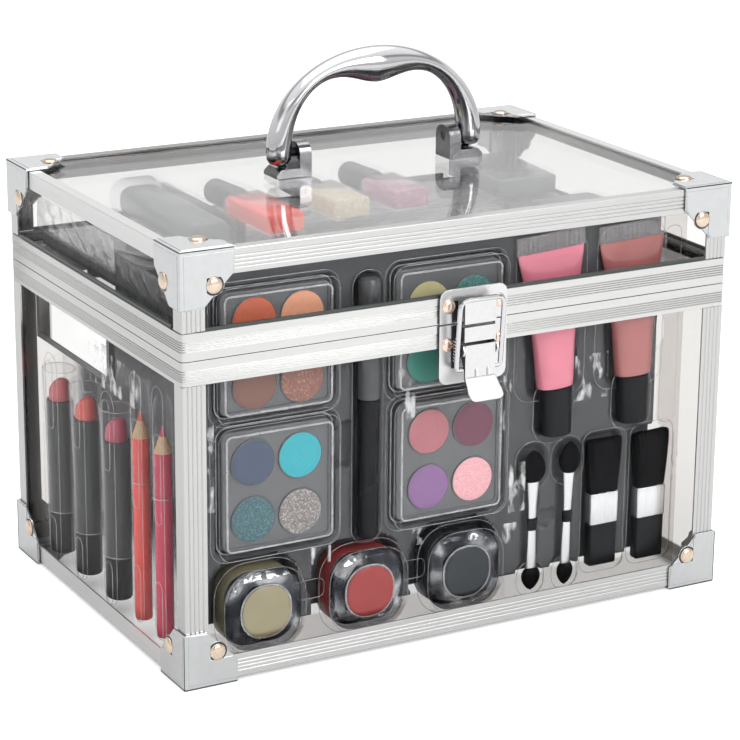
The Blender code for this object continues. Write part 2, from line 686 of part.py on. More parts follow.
def make_trays(base, lid):
    floor = WALL_IN + GAP
    front_y = -0.0880
    back_y = -0.0790
    # front display: a grey backing with a return along its foot, and a clear cover in front of it
    backing = box((-0.1270, back_y, floor + 0.0004), (0.1120, back_y + TRAY_T, 0.1820))
    foot = box((-0.1270, back_y + TRAY_T / 2, floor + 0.0004), (0.1120, back_y + 0.0080, floor + 0.0004 + TRAY_T))
    add("front_tray", combine(backing, [foot]), "grey_plastic", base)
    cover = pan((-0.1290, front_y, floor + 0.0004), (0.1260, back_y - GAP, 0.1828), (1, 1), FILM_T)
    add("front_tray_cover", cover, "clear_film", base)
    # left display: clear backing and clear cover, low enough to stay under the lid tray
    left_x = -HALF_W + RIM_IN + 0.0010
    deep_x = left_x + 0.0150
    side_low, side_high = -0.0700, 0.0880
    side = box((deep_x, side_low, floor + 0.0004), (deep_x + TRAY_T, side_high, 0.1440))
    add("side_tray", side, "clear_film", base)
    cover = pan((left_x, side_low, floor + 0.0004), (deep_x - GAP, side_high, 0.1106), (0, 1), FILM_T)
    add("side_tray_cover", cover, "clear_film", base)
    # framed mirror above the pencils, standing on the cover's top edge
    low = (left_x + 0.0020, -0.0004, 0.1110)
    high = (left_x + 0.0050, 0.0871, 0.1440)
    frame = box(low, high)
    recess = box((low[0] - 0.001, low[1] + 0.003, low[2] + 0.003), (low[0] + 0.0015, high[1] - 0.003, high[2] - 0.003))
    add("mirror_frame", combine(frame, [recess], "DIFFERENCE"), "grey_plastic", base)
    glass = box((low[0] + 0.0002, low[1] + 0.0033, low[2] + 0.0033), (low[0] + 0.0012, high[1] - 0.0033, high[2] - 0.0033))
    add("mirror_glass", glass, "mirror", base)
    # lid tray: a raised deck with a flange that rests inside the lid's rim
    flange_x = HALF_W - RIM_IN - 0.0008
    flange_low, flange_high = -0.0765, HALF_D - RIM_IN - 0.0008
    under = SEAM + 0.0008
    deck = SEAM + 0.0170
    inset = 0.0080
    bm = box((-flange_x, flange_low, under), (flange_x, flange_high, under + TRAY_T))
    hat = box((-flange_x + inset, flange_low + 0.002, under), (flange_x - inset, flange_high - inset, deck))
    hollow = box((-flange_x + inset + TRAY_T, flange_low + 0.002 + TRAY_T, under - 0.001),
                 (flange_x - inset - TRAY_T, flange_high - inset - TRAY_T, deck - TRAY_T))
    bm = combine(combine(bm, [hat]), [hollow], "DIFFERENCE")
    add("lid_tray", bm, "clear_film", lid)
    roof = PANEL_TOP - PANEL_T - 0.0012
    cover = pan((-0.1180, -0.0680, deck + GAP), (0.1180, 0.0800, roof), (2, -1), FILM_T)
    add("lid_tray_cover", cover, "clear_film", lid)


def main():
    clear_scene()
    base = empty("base_frame", (0, 0, 0))
    base.location = (0, CENTRE_Y, 0)
    lid = empty("lid_hinge_axis", (0, HINGE_Y, SEAM), base)
    swing = empty("handle_axis", (HANDLE_X, HANDLE_Y, PANEL_TOP + PIVOT_UP), lid)
    pivot = (LATCH_X, PLATE_FRONT - 0.0043, SEAM - LEVER_PIVOT_DOWN)
    lever = empty("lever_axis", pivot, base)
    loop = empty("loop_axis", (LATCH_X, PLATE_FRONT - 0.0050, SEAM - LOOP_PIVOT_DOWN), lever)
    make_caps(base, lid)
    make_angles(base, lid)
    rim("base_rim", base, SEAM - GAP / 2, RIM_BASE_H, -1)
    rim("lid_rim", lid, SEAM + GAP / 2, RIM_LID_H, 1)
    make_panels(base, lid)
    make_handle(lid, swing)
    make_latch(base, lid, lever, loop)
    make_hinges(base, lid)
    make_trays(base, lid)


main()
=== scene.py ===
import math

import bmesh
import bpy
import numpy as np
from mathutils import Matrix, Vector


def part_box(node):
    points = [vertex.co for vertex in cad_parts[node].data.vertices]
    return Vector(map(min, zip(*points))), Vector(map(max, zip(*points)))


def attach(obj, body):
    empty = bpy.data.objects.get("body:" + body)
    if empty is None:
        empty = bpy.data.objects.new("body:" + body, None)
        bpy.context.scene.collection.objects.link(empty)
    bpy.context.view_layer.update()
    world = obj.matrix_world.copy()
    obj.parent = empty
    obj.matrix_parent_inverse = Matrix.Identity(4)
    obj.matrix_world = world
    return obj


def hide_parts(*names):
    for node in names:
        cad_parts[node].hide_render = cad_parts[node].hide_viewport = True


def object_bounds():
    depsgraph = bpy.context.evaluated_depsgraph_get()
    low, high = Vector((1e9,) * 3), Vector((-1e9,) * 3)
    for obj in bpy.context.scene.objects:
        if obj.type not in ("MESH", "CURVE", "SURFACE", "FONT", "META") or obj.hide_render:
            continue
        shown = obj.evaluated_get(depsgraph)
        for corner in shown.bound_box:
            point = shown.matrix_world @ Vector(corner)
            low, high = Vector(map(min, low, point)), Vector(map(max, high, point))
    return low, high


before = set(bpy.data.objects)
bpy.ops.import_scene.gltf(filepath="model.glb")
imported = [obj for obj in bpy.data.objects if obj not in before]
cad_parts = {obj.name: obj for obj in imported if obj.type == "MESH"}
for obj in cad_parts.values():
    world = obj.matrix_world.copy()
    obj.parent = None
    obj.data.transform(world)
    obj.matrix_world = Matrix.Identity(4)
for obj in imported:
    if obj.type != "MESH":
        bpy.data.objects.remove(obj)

MM = 0.001
cad_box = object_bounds()


# ---- node graphs ----
def add_node(tree, kind, inputs, operation=None, easing=None):
    """A new shader node's outputs. inputs maps each socket to a value, or to the output it is linked from."""
    made = tree.nodes.new("ShaderNode" + kind)
    if operation:
        made.operation = operation
    if easing:
        made.interpolation_type = easing
    for socket, value in inputs.items():
        if isinstance(value, bpy.types.NodeSocket):
            tree.links.new(value, made.inputs[socket])
        else:
            made.inputs[socket].default_value = value
    return made.outputs


def graph(name):
    """A new material and its empty node tree."""
    found = bpy.data.materials.new(name)
    found.use_nodes = True
    found.node_tree.nodes.clear()
    return found, found.node_tree


def closed_by(found, shader):
    """Ends a material's graph with its output."""
    add_node(found.node_tree, "OutputMaterial", {0: shader})
    return found


def mixed(tree, share, first, second):
    return add_node(tree, "MixShader", {0: share, 1: first, 2: second})[0]


def coordinate(tree, kind="Object", axis=None):
    """A texture coordinate, or one axis of it."""
    found = add_node(tree, "TexCoord", {})[kind]
    return add_node(tree, "SeparateXYZ", {0: found})[axis] if axis else found


def span(tree, source, low, high, to_low=0.0, to_high=1.0, easing=None):
    """Maps low..high of a value to to_low..to_high."""
    sockets = {"Value": source, "From Min": low, "From Max": high, "To Min": to_low, "To Max": to_high}
    return add_node(tree, "MapRange", sockets, easing=easing)[0]


def ranged(tree, source, low, high):
    """Spreads noise over low..high."""
    return span(tree, source, 0.3, 0.7, low, high)


def noise(tree, spread, detail=3.0, share=1.0):
    """Noise in object space, spread = how many cells to a metre, one number or one for each axis."""
    spread = spread if isinstance(spread, tuple) else (spread,) * 3
    where = add_node(tree, "Mapping", {0: coordinate(tree), "Scale": [s * share for s in spread]})[0]
    return add_node(tree, "TexNoise", {"Vector": where, "Scale": 1.0, "Detail": detail})["Fac"]


def ramp(tree, source, stops):
    """Colour ramp from (place, (r, g, b)) stops."""
    made = tree.nodes.new("ShaderNodeValToRGB")
    while len(made.color_ramp.elements) < len(stops):
        made.color_ramp.elements.new(0.5)
    for stop, (at, colour) in zip(made.color_ramp.elements, stops):
        stop.position = at
        stop.color = (*colour, 1)
    tree.links.new(source, made.inputs[0])
    return made.outputs[0]


def bumped(tree, source, depth):
    return add_node(tree, "Bump", {"Strength": 1.0, "Distance": depth, "Height": source})[0]


# ---- camera, light and floor ----
LENS_MM, SENSOR_MM = 129.54, 36.0
CAMERA_PLACE = (-0.58278, -1.06124, 0.47981)
CAMERA_TURN = (-28.83, 17.39, 0.488)  # azimuth, elevation and roll in degrees
ROOM_GREYS = ((0.0, 1.30), (0.36, 1.32), (0.46, 0.66), (0.56, 0.52), (0.66, 1.40), (1.0, 1.55))
ROOM_STRENGTH = 0.62
FLOOR_SIDE = 6.0
FLOOR_GLOW = 0.34
FLOOR_GAP = 0.0002


def turned_basis(azimuth, elevation, roll):
    """Camera axes (right, up, back) for an azimuth, elevation and roll in degrees."""
    a, e, r = (math.radians(x) for x in (azimuth, elevation, roll))
    back = Vector((math.sin(a) * math.cos(e), -math.cos(a) * math.cos(e), math.sin(e)))
    right = Vector((math.cos(a), math.sin(a), 0))
    up = back.cross(right)
    return math.cos(r) * right + math.sin(r) * up, math.cos(r) * up - math.sin(r) * right, back


def make_camera():
    data = bpy.data.cameras.new("camera")
    data.sensor_width = SENSOR_MM
    data.lens = LENS_MM
    data.clip_start, data.clip_end = 0.05, 30
    cam = bpy.data.objects.new("camera", data)
    bpy.context.scene.collection.objects.link(cam)
    turn = Matrix(turned_basis(*CAMERA_TURN)).transposed().to_4x4()
    cam.matrix_world = Matrix.Translation(Vector(CAMERA_PLACE)) @ turn
    bpy.context.scene.camera = cam


def area_light(name, place, width, height, power):
    """A rectangular lamp that looks at the middle of the case's lower half."""
    data = bpy.data.lights.new(name, "AREA")
    data.shape = "RECTANGLE"
    data.size, data.size_y = width, height
    data.energy = power
    light = bpy.data.objects.new(name, data)
    bpy.context.scene.collection.objects.link(light)
    light.location = place
    light.rotation_mode = "QUATERNION"
    light.rotation_quaternion = (Vector((0, 0, 0.1)) - Vector(place)).to_track_quat("-Z", "Y")


def make_world():
    """White paper for the camera, and a room of greys that change with height for everything else."""
    world = bpy.data.worlds.new("studio")
    bpy.context.scene.world = world
    world.use_nodes = True
    tree = world.node_tree
    tree.nodes.clear()
    greys = ramp(tree, coordinate(tree, "Generated", "Z"), [(at, (grey,) * 3) for at, grey in ROOM_GREYS])
    room = add_node(tree, "Background", {"Color": greys, "Strength": ROOM_STRENGTH})[0]
    paper = add_node(tree, "Background", {"Color": (1, 1, 1, 1), "Strength": 1.0})[0]
    seen = add_node(tree, "LightPath", {})["Is Camera Ray"]
    add_node(tree, "OutputWorld", {0: mixed(tree, seen, room, paper)})


def make_stage():
    bm = bmesh.new()
    bmesh.ops.create_grid(bm, x_segments=2, y_segments=2, size=FLOOR_SIDE)
    mesh = bpy.data.meshes.new("floor")
    bm.to_mesh(mesh)
    bm.free()
    floor = bpy.data.objects.new("floor", mesh)
    bpy.context.scene.collection.objects.link(floor)
    paper = surface("floor_paper", (0.95, 0.95, 0.95), 0.7, spread=3, vary=0.004, bump=0,
            Emission_Color=(1, 1, 1, 1))
    tree = paper.node_tree
    shader = next(one for one in tree.nodes if one.type == "BSDF_PRINCIPLED")
    seen = add_node(tree, "LightPath", {})["Is Camera Ray"]
    glow = add_node(tree, "Math", {0: seen, 1: FLOOR_GLOW}, "MULTIPLY")[0]
    tree.links.new(glow, shader.inputs["Emission Strength"])
    mesh.materials.append(paper)
    floor.location.z = cad_box[0].z - FLOOR_GAP


# ---- materials ----
def shaded(colour, amount):
    return tuple(min(1.0, c * amount) for c in colour)


def surface(name, colour, rough, metal=0.0, spread=400, vary=0.06, rough_vary=0.06, bump=0.00002, facing=None,
        flakes=None, **sockets):
    """A Principled surface whose colour, roughness and fine relief vary with noise in object space. facing is
    (axis, low, high): painted light and shade, the colour scaled by low where the surface faces down that axis,
    by high the other way."""
    found, tree = graph(name)
    fine = noise(tree, spread)
    broad = noise(tree, spread, 2.0, 0.07)
    body = ramp(tree, fine, ((0.3, shaded(colour, 1 - vary)), (0.7, shaded(colour, 1 + vary))))
    if flakes:
        body = sparkle(tree, body, *flakes)
    if facing:
        body = painted_facing_light(tree, body, *facing)
    inputs = {"Base Color": body, "Roughness": ranged(tree, broad, max(0.0, rough - rough_vary),
            rough + rough_vary), "Metallic": metal}
    if bump:
        inputs["Normal"] = bumped(tree, fine, bump)
    inputs.update({socket.replace("_", " "): value for socket, value in sockets.items()})
    return closed_by(found, add_node(tree, "BsdfPrincipled", inputs)[0])


def painted_facing_light(tree, body, axis, low, high):
    """Painted light and shade: scales a colour between low and high along the object-space normal's axis."""
    amount = span(tree, coordinate(tree, "Normal", axis), -1.0, 1.0, low, high)
    return add_node(tree, "VectorMath", {0: body, "Scale": amount}, "SCALE")[0]


def sparkle(tree, body, cells, share, colour):
    """Mixes flakes of another colour into a body colour, cells to a metre, share of the area."""
    cell = add_node(tree, "TexVoronoi", {"Scale": cells, "Vector": coordinate(tree)})
    split = add_node(tree, "SeparateColor", {0: cell["Color"]})
    pick = span(tree, split[0], 1 - share, 1 - share * 0.4)
    mix = tree.nodes.new("ShaderNodeMix")
    mix.data_type = "RGBA"
    tree.links.new(pick, mix.inputs["Factor"])
    tree.links.new(body, mix.inputs["A"])
    mix.inputs["B"].default_value = (*colour, 1)
    return mix.outputs["Result"]


def edged(tree, tint, shade, edges):
    """A colour that turns from tint to shade past each (axis, start, end) in metres of object space."""
    total = None
    for axis, start, end in edges:
        step = span(tree, coordinate(tree, axis=axis), start, end)
        total = step if total is None else add_node(tree, "Math", {0: total, 1: step}, "MAXIMUM")[0]
    return ramp(tree, total, ((0.0, tint), (1.0, shade)))


def clear(name, tint, rough, least=0.04, most=1.0, fall=4.0, haze=0.0, wave=0.0, spread=60, edges=None):
    """Thin clear sheet: it lets light straight through and mirrors more at a glancing angle. edges is (shade, steps):
    past its steps the sheet takes another tint."""
    found, tree = graph(name)
    bend = {"Normal": bumped(tree, noise(tree, spread, 2.0), wave)} if wave else {}
    weight = add_node(tree, "LayerWeight", {"Blend": 0.5, **bend})["Facing"]
    share = span(tree, add_node(tree, "Math", {0: weight, 1: fall}, "POWER")[0], 0.0, 1.0, least, most)
    behind = add_node(tree, "BsdfTransparent", {"Color": edged(tree, tint, *edges) if edges else (*tint, 1)})[0]
    if haze:
        milk = add_node(tree, "BsdfDiffuse", {"Color": (0.9, 0.9, 0.9, 1)})[0]
        behind = mixed(tree, ranged(tree, noise(tree, spread, 4.0), haze * 0.4, haze * 1.6), behind, milk)
    shine = add_node(tree, "BsdfGlossy", {"Roughness": rough, "Color": (1, 1, 1, 1), **bend})[0]
    return closed_by(found, mixed(tree, share, behind, shine))


def glint():
    """Painted glare: ragged whitish patches on crumpled film that stand in for its reflections, clear between them.
    """
    found, tree = graph("film_glare")
    patches = noise(tree, (210, 210, 75))
    body = ramp(tree, patches, ((0.3, (0.62, 0.62, 0.63)), (0.7, (0.95, 0.95, 0.95))))
    shine = add_node(tree, "BsdfPrincipled", {"Roughness": 0.25, "Base Color": body})[0]
    share = span(tree, patches, 0.50, 0.66, 0.0, 0.55)
    return closed_by(found, mixed(tree, share, add_node(tree, "BsdfTransparent", {})[0], shine))


def swirled():
    """Thick clear plastic of the jars: dark and light swirls painted into its reflection's colour stand in for the
    light the plastic bends, between fully clear streaks.
    """
    found, tree = graph("jar_glass")
    through = add_node(tree, "BsdfTransparent", {"Color": (0.80, 0.81, 0.84, 1)})[0]
    painted_swirls = ((0.40, (0.07, 0.073, 0.085)), (0.54, (0.26, 0.265, 0.28)), (0.64, (0.95, 0.95, 0.98)))
    shine = add_node(tree, "BsdfGlossy", {"Roughness": 0.06, "Color": ramp(tree, noise(tree, 75, 1.0), painted_swirls),
            "Normal": bumped(tree, noise(tree, 110, 1.5), 0.004)})[0]
    return closed_by(found, mixed(tree, ranged(tree, noise(tree, 48, 1.0), 0.22, 0.62), through, shine))


def smoke():
    """Clear tray sheet, smoky behind the pencils and clear at its foot and its back end."""
    found, tree = graph("smoky_tray")
    factors = [span(tree, coordinate(tree, axis=axis), low, high, easing="SMOOTHSTEP")
            for axis, low, high in (("Z", 0.022, 0.046), ("Y", 0.080, 0.062))]
    both = add_node(tree, "Math", {0: factors[0], 1: factors[1]}, "MULTIPLY")[0]
    tint = ramp(tree, both, ((0.0, (0.90, 0.90, 0.90)), (1.0, (0.30, 0.30, 0.315))))
    through = add_node(tree, "BsdfTransparent", {"Color": tint})[0]
    shine = add_node(tree, "BsdfGlossy", {"Roughness": 0.1})[0]
    return closed_by(found, mixed(tree, ranged(tree, noise(tree, 90), 0.0, 0.05), through, shine))


# Painted light and shade by facing: lit tops and shaded undersides, shaded left sides and lit right sides
PAINTED_TOP_LIGHT = ("Z", 0.50, 1.70)
PAINTED_SIDE_SHADE = ("X", 0.83, 1.15)
# name, colour, roughness, cells to a metre, how much colour and roughness vary, relief, facing (painted light and
# shade)
METALS = {
    # rail_x, rail_back, rail_y and rail_z are one brushed aluminium in lit and shaded copies: their different greys
    # are painted light and shade for the way each rail faces
    "rail_x": ("aluminium_x", (0.55, 0.55, 0.545), 0.30, (30, 900, 2600), 0.035, 0.05, 0.000004,
               ("Z", 0.70, 1.45)),
    "rail_back": ("aluminium_back", (0.50, 0.50, 0.495), 0.30, (30, 900, 2600), 0.035, 0.05, 0.000004,
                  ("Y", 0.50, 1.45)),
    "rail_y": ("aluminium_y", (0.66, 0.66, 0.655), 0.30, (900, 30, 2600), 0.035, 0.05, 0.000004,
               ("Z", 0.50, 1.50)),
    "rail_z": ("aluminium_z", (0.57, 0.57, 0.565), 0.30, (2600, 2600, 30), 0.035, 0.05, 0.000004,
               ("X", 0.92, 1.10)),
    "rim": ("aluminium_rim", (0.66, 0.66, 0.65), 0.27, (40, 40, 3200), 0.03, 0.05, 0.000004, PAINTED_SIDE_SHADE),
    "nickel": ("nickel", (0.52, 0.53, 0.535), 0.17, 300, 0.03, 0.05, 0.000004, PAINTED_TOP_LIGHT),
    # the latch's left faces and the chrome handle's underside are painted nearly black by their facing scale: painted
    # shade
    "latch": ("satin_nickel", (0.82, 0.82, 0.82), 0.30, 500, 0.03, 0.06, 0.000004, ("X", 0.12, 1.60)),
    "chrome": ("chrome", (0.86, 0.86, 0.88), 0.06, 200, 0.02, 0.02, 0.0, ("Z", 0.02, 1.16)),
    "wire": ("chrome_wire", (0.66, 0.66, 0.68), 0.08, 400, 0.02, 0.02, 0.0),
    "zinc": ("zinc", (0.52, 0.52, 0.54), 0.16, 500, 0.10, 0.08, 0.00003, ("X", 0.35, 1.10)),
    "rivet": ("rivet_brass", (0.74, 0.61, 0.49), 0.24, 900, 0.08, 0.08, 0.00001),
    "copper": ("rivet_copper", (0.92, 0.70, 0.58), 0.26, 900, 0.08, 0.08, 0.00001),
    # dark steel of pins and screws, also used for thin strips and plates that are painted shade
    "steel_dark_and_shade": ("dark_steel", (0.06, 0.06, 0.065), 0.35, 500, 0.15, 0.1, 0.00002),
    "silver": ("silver_sleeve", (0.84, 0.84, 0.85), 0.26, (1500, 1500, 60), 0.04, 0.06, 0.000006),
    "mirror": ("silvered_glass", (0.97, 0.97, 0.97), 0.02, 20, 0.01, 0.01, 0.0),
}
PLASTICS = {
    "gasket": ("gasket", (0.050, 0.060, 0.056), 0.35, (60, 60, 900), 0.2, 0.1, 0.00001),
    "tray": ("tray_grey", (0.082, 0.084, 0.089), 0.55, 700, 0.10, 0.08, 0.00003),
    "palette": ("palette_grey", (0.175, 0.178, 0.184), 0.42, 900, 0.06, 0.06, 0.00001),
    "pan_rim": ("pan_rim", (0.20, 0.205, 0.21), 0.35, 900, 0.06, 0.06, 0.00001),
    "pen_grey": ("pen_grey", (0.085, 0.088, 0.094), 0.30, 120, 0.08, 0.06, 0.0),
    "wood": ("wood", (0.66, 0.42, 0.22), 0.6, (1600, 1600, 120), 0.18, 0.05, 0.00003),
    "frame_dark": ("mirror_frame", (0.035, 0.036, 0.04), 0.3, 500, 0.1, 0.1, 0.00001),
    "wrap": ("dark_wrap", (0.040, 0.041, 0.044), 0.22, (140, 140, 40), 0.35, 0.10, 0.0012),
    "cap_grey": ("cap_grey", (0.035, 0.036, 0.039), 0.3, 400, 0.06, 0.06, 0.00001),
    "frosted": ("frosted_grey", (0.17, 0.175, 0.18), 0.3, 60, 0.10, 0.08, 0.0),
}
# name, tint, roughness, least and most mirroring, fall, haze, wave, cells to a metre, edges
CLEARS = {
    "acrylic": ("acrylic_sheet", (0.985, 0.988, 0.988), 0.0, 0.001, 1.0, 5.0),
    "acrylic_top": ("acrylic_lid_sheet", (0.985, 0.988, 0.988), 0.0, 0.001, 1.0, 4.6),
    "acrylic_side": ("acrylic_side_sheet", (0.985, 0.985, 0.983), 0.0, 0.001, 0.22, 5.0),
    # acrylic_far and acrylic_back are the same clear acrylic with darker tints: painted shade on what is seen through
    # the far panels
    "acrylic_far": ("acrylic_far_sheet", (0.78, 0.77, 0.76), 0.0, 0.001, 0.6, 5.0),
    "acrylic_back": ("acrylic_back_sheet", (0.85, 0.845, 0.84), 0.0, 0.001, 0.6, 5.0),
    "film": ("clear_film", (0.99, 0.99, 0.99), 0.05, 0.001, 0.18, 4.5, 0.0, 0.00002, 90, ((0.86, 0.845, 0.835),
             (("X", 0.1125, 0.114), ("Z", 0.0185, 0.0170)))),
    "film_side": ("clear_side_film", (0.995, 0.995, 0.995), 0.05, 0.001, 0.12, 3.5, 0.0, 0.00002, 90),
    "film_lid": ("clear_lid_film", (0.99, 0.99, 0.99), 0.03, 0.0, 0.07, 4.0, 0.0, 0.00002, 60),
    "veil": ("crinkled_film", (0.93, 0.93, 0.935), 0.10, 0.01, 0.5, 3.0, 0.05, 0.00006, 160),
    "lid_clear": ("clear_lid", (0.98, 0.98, 0.985), 0.03, 0.006, 0.7),
    # milky clear rings: painted highlights, the bright lines along film folds, lid edges and cap rims
    "highlight_line": ("clear_edge", (0.90, 0.90, 0.91), 0.10, 0.08, 0.7, 2.5, 0.22, 0.0, 200),
    "deck": ("clear_tray", (0.95, 0.95, 0.96), 0.10, 0.02, 0.6, 4.0, 0.03, 0.00006, 80),
    "cap_clear": ("clear_cap", (0.97, 0.97, 0.975), 0.04, 0.006, 0.8, 4.5),
    "crimp": ("ribbed_crimp", (0.90, 0.86, 0.87), 0.12, 0.03, 0.9, 2.2, 0.10, 0.0, (900, 900, 90)),
}
M = {key: surface(name, colour, rough, 1.0, *rest) for key, (name, colour, rough, *rest) in METALS.items()}
M |= {key: surface(name, colour, rough, 0.0, *rest) for key, (name, colour, rough, *rest) in PLASTICS.items()}
M |= {key: clear(*row) for key, row in CLEARS.items()}
M |= {
    "tab": surface("bright_tab", (0.93, 0.93, 0.93), 0.48, 0.55, 500, 0.03, 0.06, 0.000004),
    "jar_glass": swirled(),
    "smoke": smoke(),
    "glint": glint(),
    "black": surface("black_plastic", (0.0085, 0.009, 0.0105), 0.30, 0.0, 120, 0.15, 0.06, 0.0,
                     Specular_IOR_Level=0.22),
    "barrel": surface("barrel_grey", (0.052, 0.054, 0.059), 0.34, 0.0, 90, 0.06, 0.05, 0.0,
                      Specular_IOR_Level=0.3),
    "sponge": surface("sponge", (0.007, 0.007, 0.008), 0.9, 0.0, 1800, 0.4, 0.05, 0.0003,
                      Specular_IOR_Level=0.05),
    "bristle": surface("bristles", (0.006, 0.006, 0.007), 0.6, 0.0, (3800, 3800, 60), 0.7, 0.1, 0.0004,
                       Specular_IOR_Level=0.08),
}


def powder(name, colour, flakes=None):
    return surface(name, colour, 0.72, 0.0, 1400, 0.10, 0.08, 0.00006, flakes=flakes)


def gloss(name, colour, rough=0.2, **sockets):
    return surface(name, colour, rough, 0.0, 120, 0.05, 0.05, 0.0, **sockets)


# ---- mesh helpers; lengths in millimetres in a local frame, put in place by a matrix ----
def rrect(w, h, r, n=6):
    """Corner-rounded rectangle outline, centred."""
    r = max(0.05, min(r, w / 2 - 0.01, h / 2 - 0.01))
    points = []
    for k, (sx, sy) in enumerate(((1, 1), (-1, 1), (-1, -1), (1, -1))):
        for i in range(n + 1):
            a = math.radians(90 * k + 90 * i / n)
            points.append((sx * (w / 2 - r) + r * math.cos(a), sy * (h / 2 - r) + r * math.sin(a)))
    return points


def prism_rings(w, h, r, profile, n=6):
    """Rings of a rounded-rectangle prism; profile is (inset, height) pairs."""
    return [[(x, y, z) for x, y in rrect(w - 2 * i, h - 2 * i, r - i, n)] for i, z in profile]


def round_rings(profile, n=32, flat=1.0):
    """Rings of a turned shape; profile is (radius, height) pairs, flat squeezes it along y."""
    turn = [2 * math.pi * k / n for k in range(n)]
    return [[(r * math.cos(a), r * flat * math.sin(a), z) for a in turn] for r, z in profile]


def edge(w0, w1, e):
    """Profile of a block from height w0 to w1 with rounded edges of size e."""
    return ((e, w0), (e * 0.3, w0 + e * 0.3), (0, w0 + e), (0, w1 - e), (e * 0.3, w1 - e * 0.3), (e, w1))


UP = Matrix.Rotation(math.radians(-90), 4, "X")  # turns a shape made along local z to stand along local y


def place(side, u, v, w=0.0, turn=0.0, tip=None):
    """Matrix from millimetres in a side's frame to the row frame. Local z points out of that side."""
    axes = {
        "front": ((1, 0, 0), (0, 0, 1), (0, -1, 0)),
        "left": ((0, -1, 0), (0, 0, 1), (-1, 0, 0)),
        "right": ((0, 1, 0), (0, 0, 1), (1, 0, 0)),
        "back": ((-1, 0, 0), (0, 0, 1), (0, 1, 0)),
        "top": ((1, 0, 0), (0, 1, 0), (0, 0, 1)),
    }[side]
    base = Matrix([Vector(a) for a in axes]).transposed().to_4x4()
    move = Matrix.Translation(base @ Vector((u, v, w)))
    spin = Matrix.Rotation(math.radians(turn), 4, "Z")
    return Matrix.Scale(MM, 4) @ move @ base @ spin @ (tip or Matrix.Identity(4))


def finish(name, bm, where, body, material, smooth=35.0, thick=0.0):
    """Makes a piece that rides on a body. material is a key of M, or a material of its own."""
    bmesh.ops.recalc_face_normals(bm, faces=bm.faces)
    mesh = bpy.data.meshes.new(name)
    bm.to_mesh(mesh)
    bm.free()
    mesh.transform(where)
    if where.determinant() < 0:
        mesh.flip_normals()
    for face in mesh.polygons:
        face.use_smooth = True
    mesh.set_sharp_from_angle(angle=math.radians(smooth))
    piece = bpy.data.objects.new(name, mesh)
    bpy.context.scene.collection.objects.link(piece)
    mesh.materials.append(M[material] if isinstance(material, str) else material)
    if thick:
        shell = piece.modifiers.new("sheet", "SOLIDIFY")
        shell.thickness = thick * MM
        shell.offset = 0.0
    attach(piece, body)
    return piece


def loft(name, rings, where, body, material, closed=True, **more):
    bm = bmesh.new()
    rows = [[bm.verts.new(p) for p in ring] for ring in rings]
    n = len(rows[0])
    for a, b in zip(rows, rows[1:]):
        for i in range(n):
            bm.faces.new((a[i], a[(i + 1) % n], b[(i + 1) % n], b[i]))
    if closed:
        bm.faces.new(rows[0][::-1])
        bm.faces.new(rows[-1])
    return finish(name, bm, where, body, material, **more)


def bump_field(u, v, bumps):
    """Height of smooth-sided pads on a grid; each is (u, v, width, height, corner, rise, slope[, turn])."""
    total = np.zeros_like(u)
    for cu, cv, w, h, r, rise, slope, *turn in bumps:
        a = math.radians(turn[0]) if turn else 0.0
        x = (u - cu) * math.cos(a) + (v - cv) * math.sin(a)
        y = (v - cv) * math.cos(a) - (u - cu) * math.sin(a)
        qx, qy = np.abs(x) - w / 2 + r, np.abs(y) - h / 2 + r
        out = np.hypot(np.maximum(qx, 0), np.maximum(qy, 0)) + np.minimum(np.maximum(qx, qy), 0) - r
        t = np.clip(-out / slope, 0, 1)
        total = np.maximum(total, rise * np.sqrt(t * (2 - t)) * (0.55 + 0.45 * t))
    return total


def ripple(u, v, patches):
    """Crumpled patches: (u, v, radius, height), the same every run."""
    total = np.zeros_like(u)
    for k, (cu, cv, reach, rise) in enumerate(patches):
        near = np.exp(-((u - cu) ** 2 + (v - cv) ** 2) / reach**2)
        wave = np.sin(u * 0.9 + 2.1 * np.sin(v * 0.35 + k)) + np.sin(v * 1.1 + 1.7 * np.sin(u * 0.5 + 2 * k))
        total += rise * near * wave
    return total


def sheet_grid(name, box, step, height, where, body, material, thick, **more):
    """A formed sheet over the rectangle box = (u0, u1, v0, v1), with height(u, v) in millimetres."""
    u0, u1, v0, v1 = box
    us = np.linspace(u0, u1, int((u1 - u0) / step) + 1)
    vs = np.linspace(v0, v1, int((v1 - v0) / step) + 1)
    u, v = np.meshgrid(us, vs)
    w = height(u, v)
    bm = bmesh.new()
    verts = [bm.verts.new(p) for p in np.stack([u.ravel(), v.ravel(), w.ravel()], axis=1).tolist()]
    n = len(us)
    for j in range(len(vs) - 1):
        for i in range(n - 1):
            k = j * n + i
            bm.faces.new((verts[k], verts[k + 1], verts[k + n + 1], verts[k + n]))
    return finish(name, bm, where, body, material, smooth=60.0, thick=thick, **more)


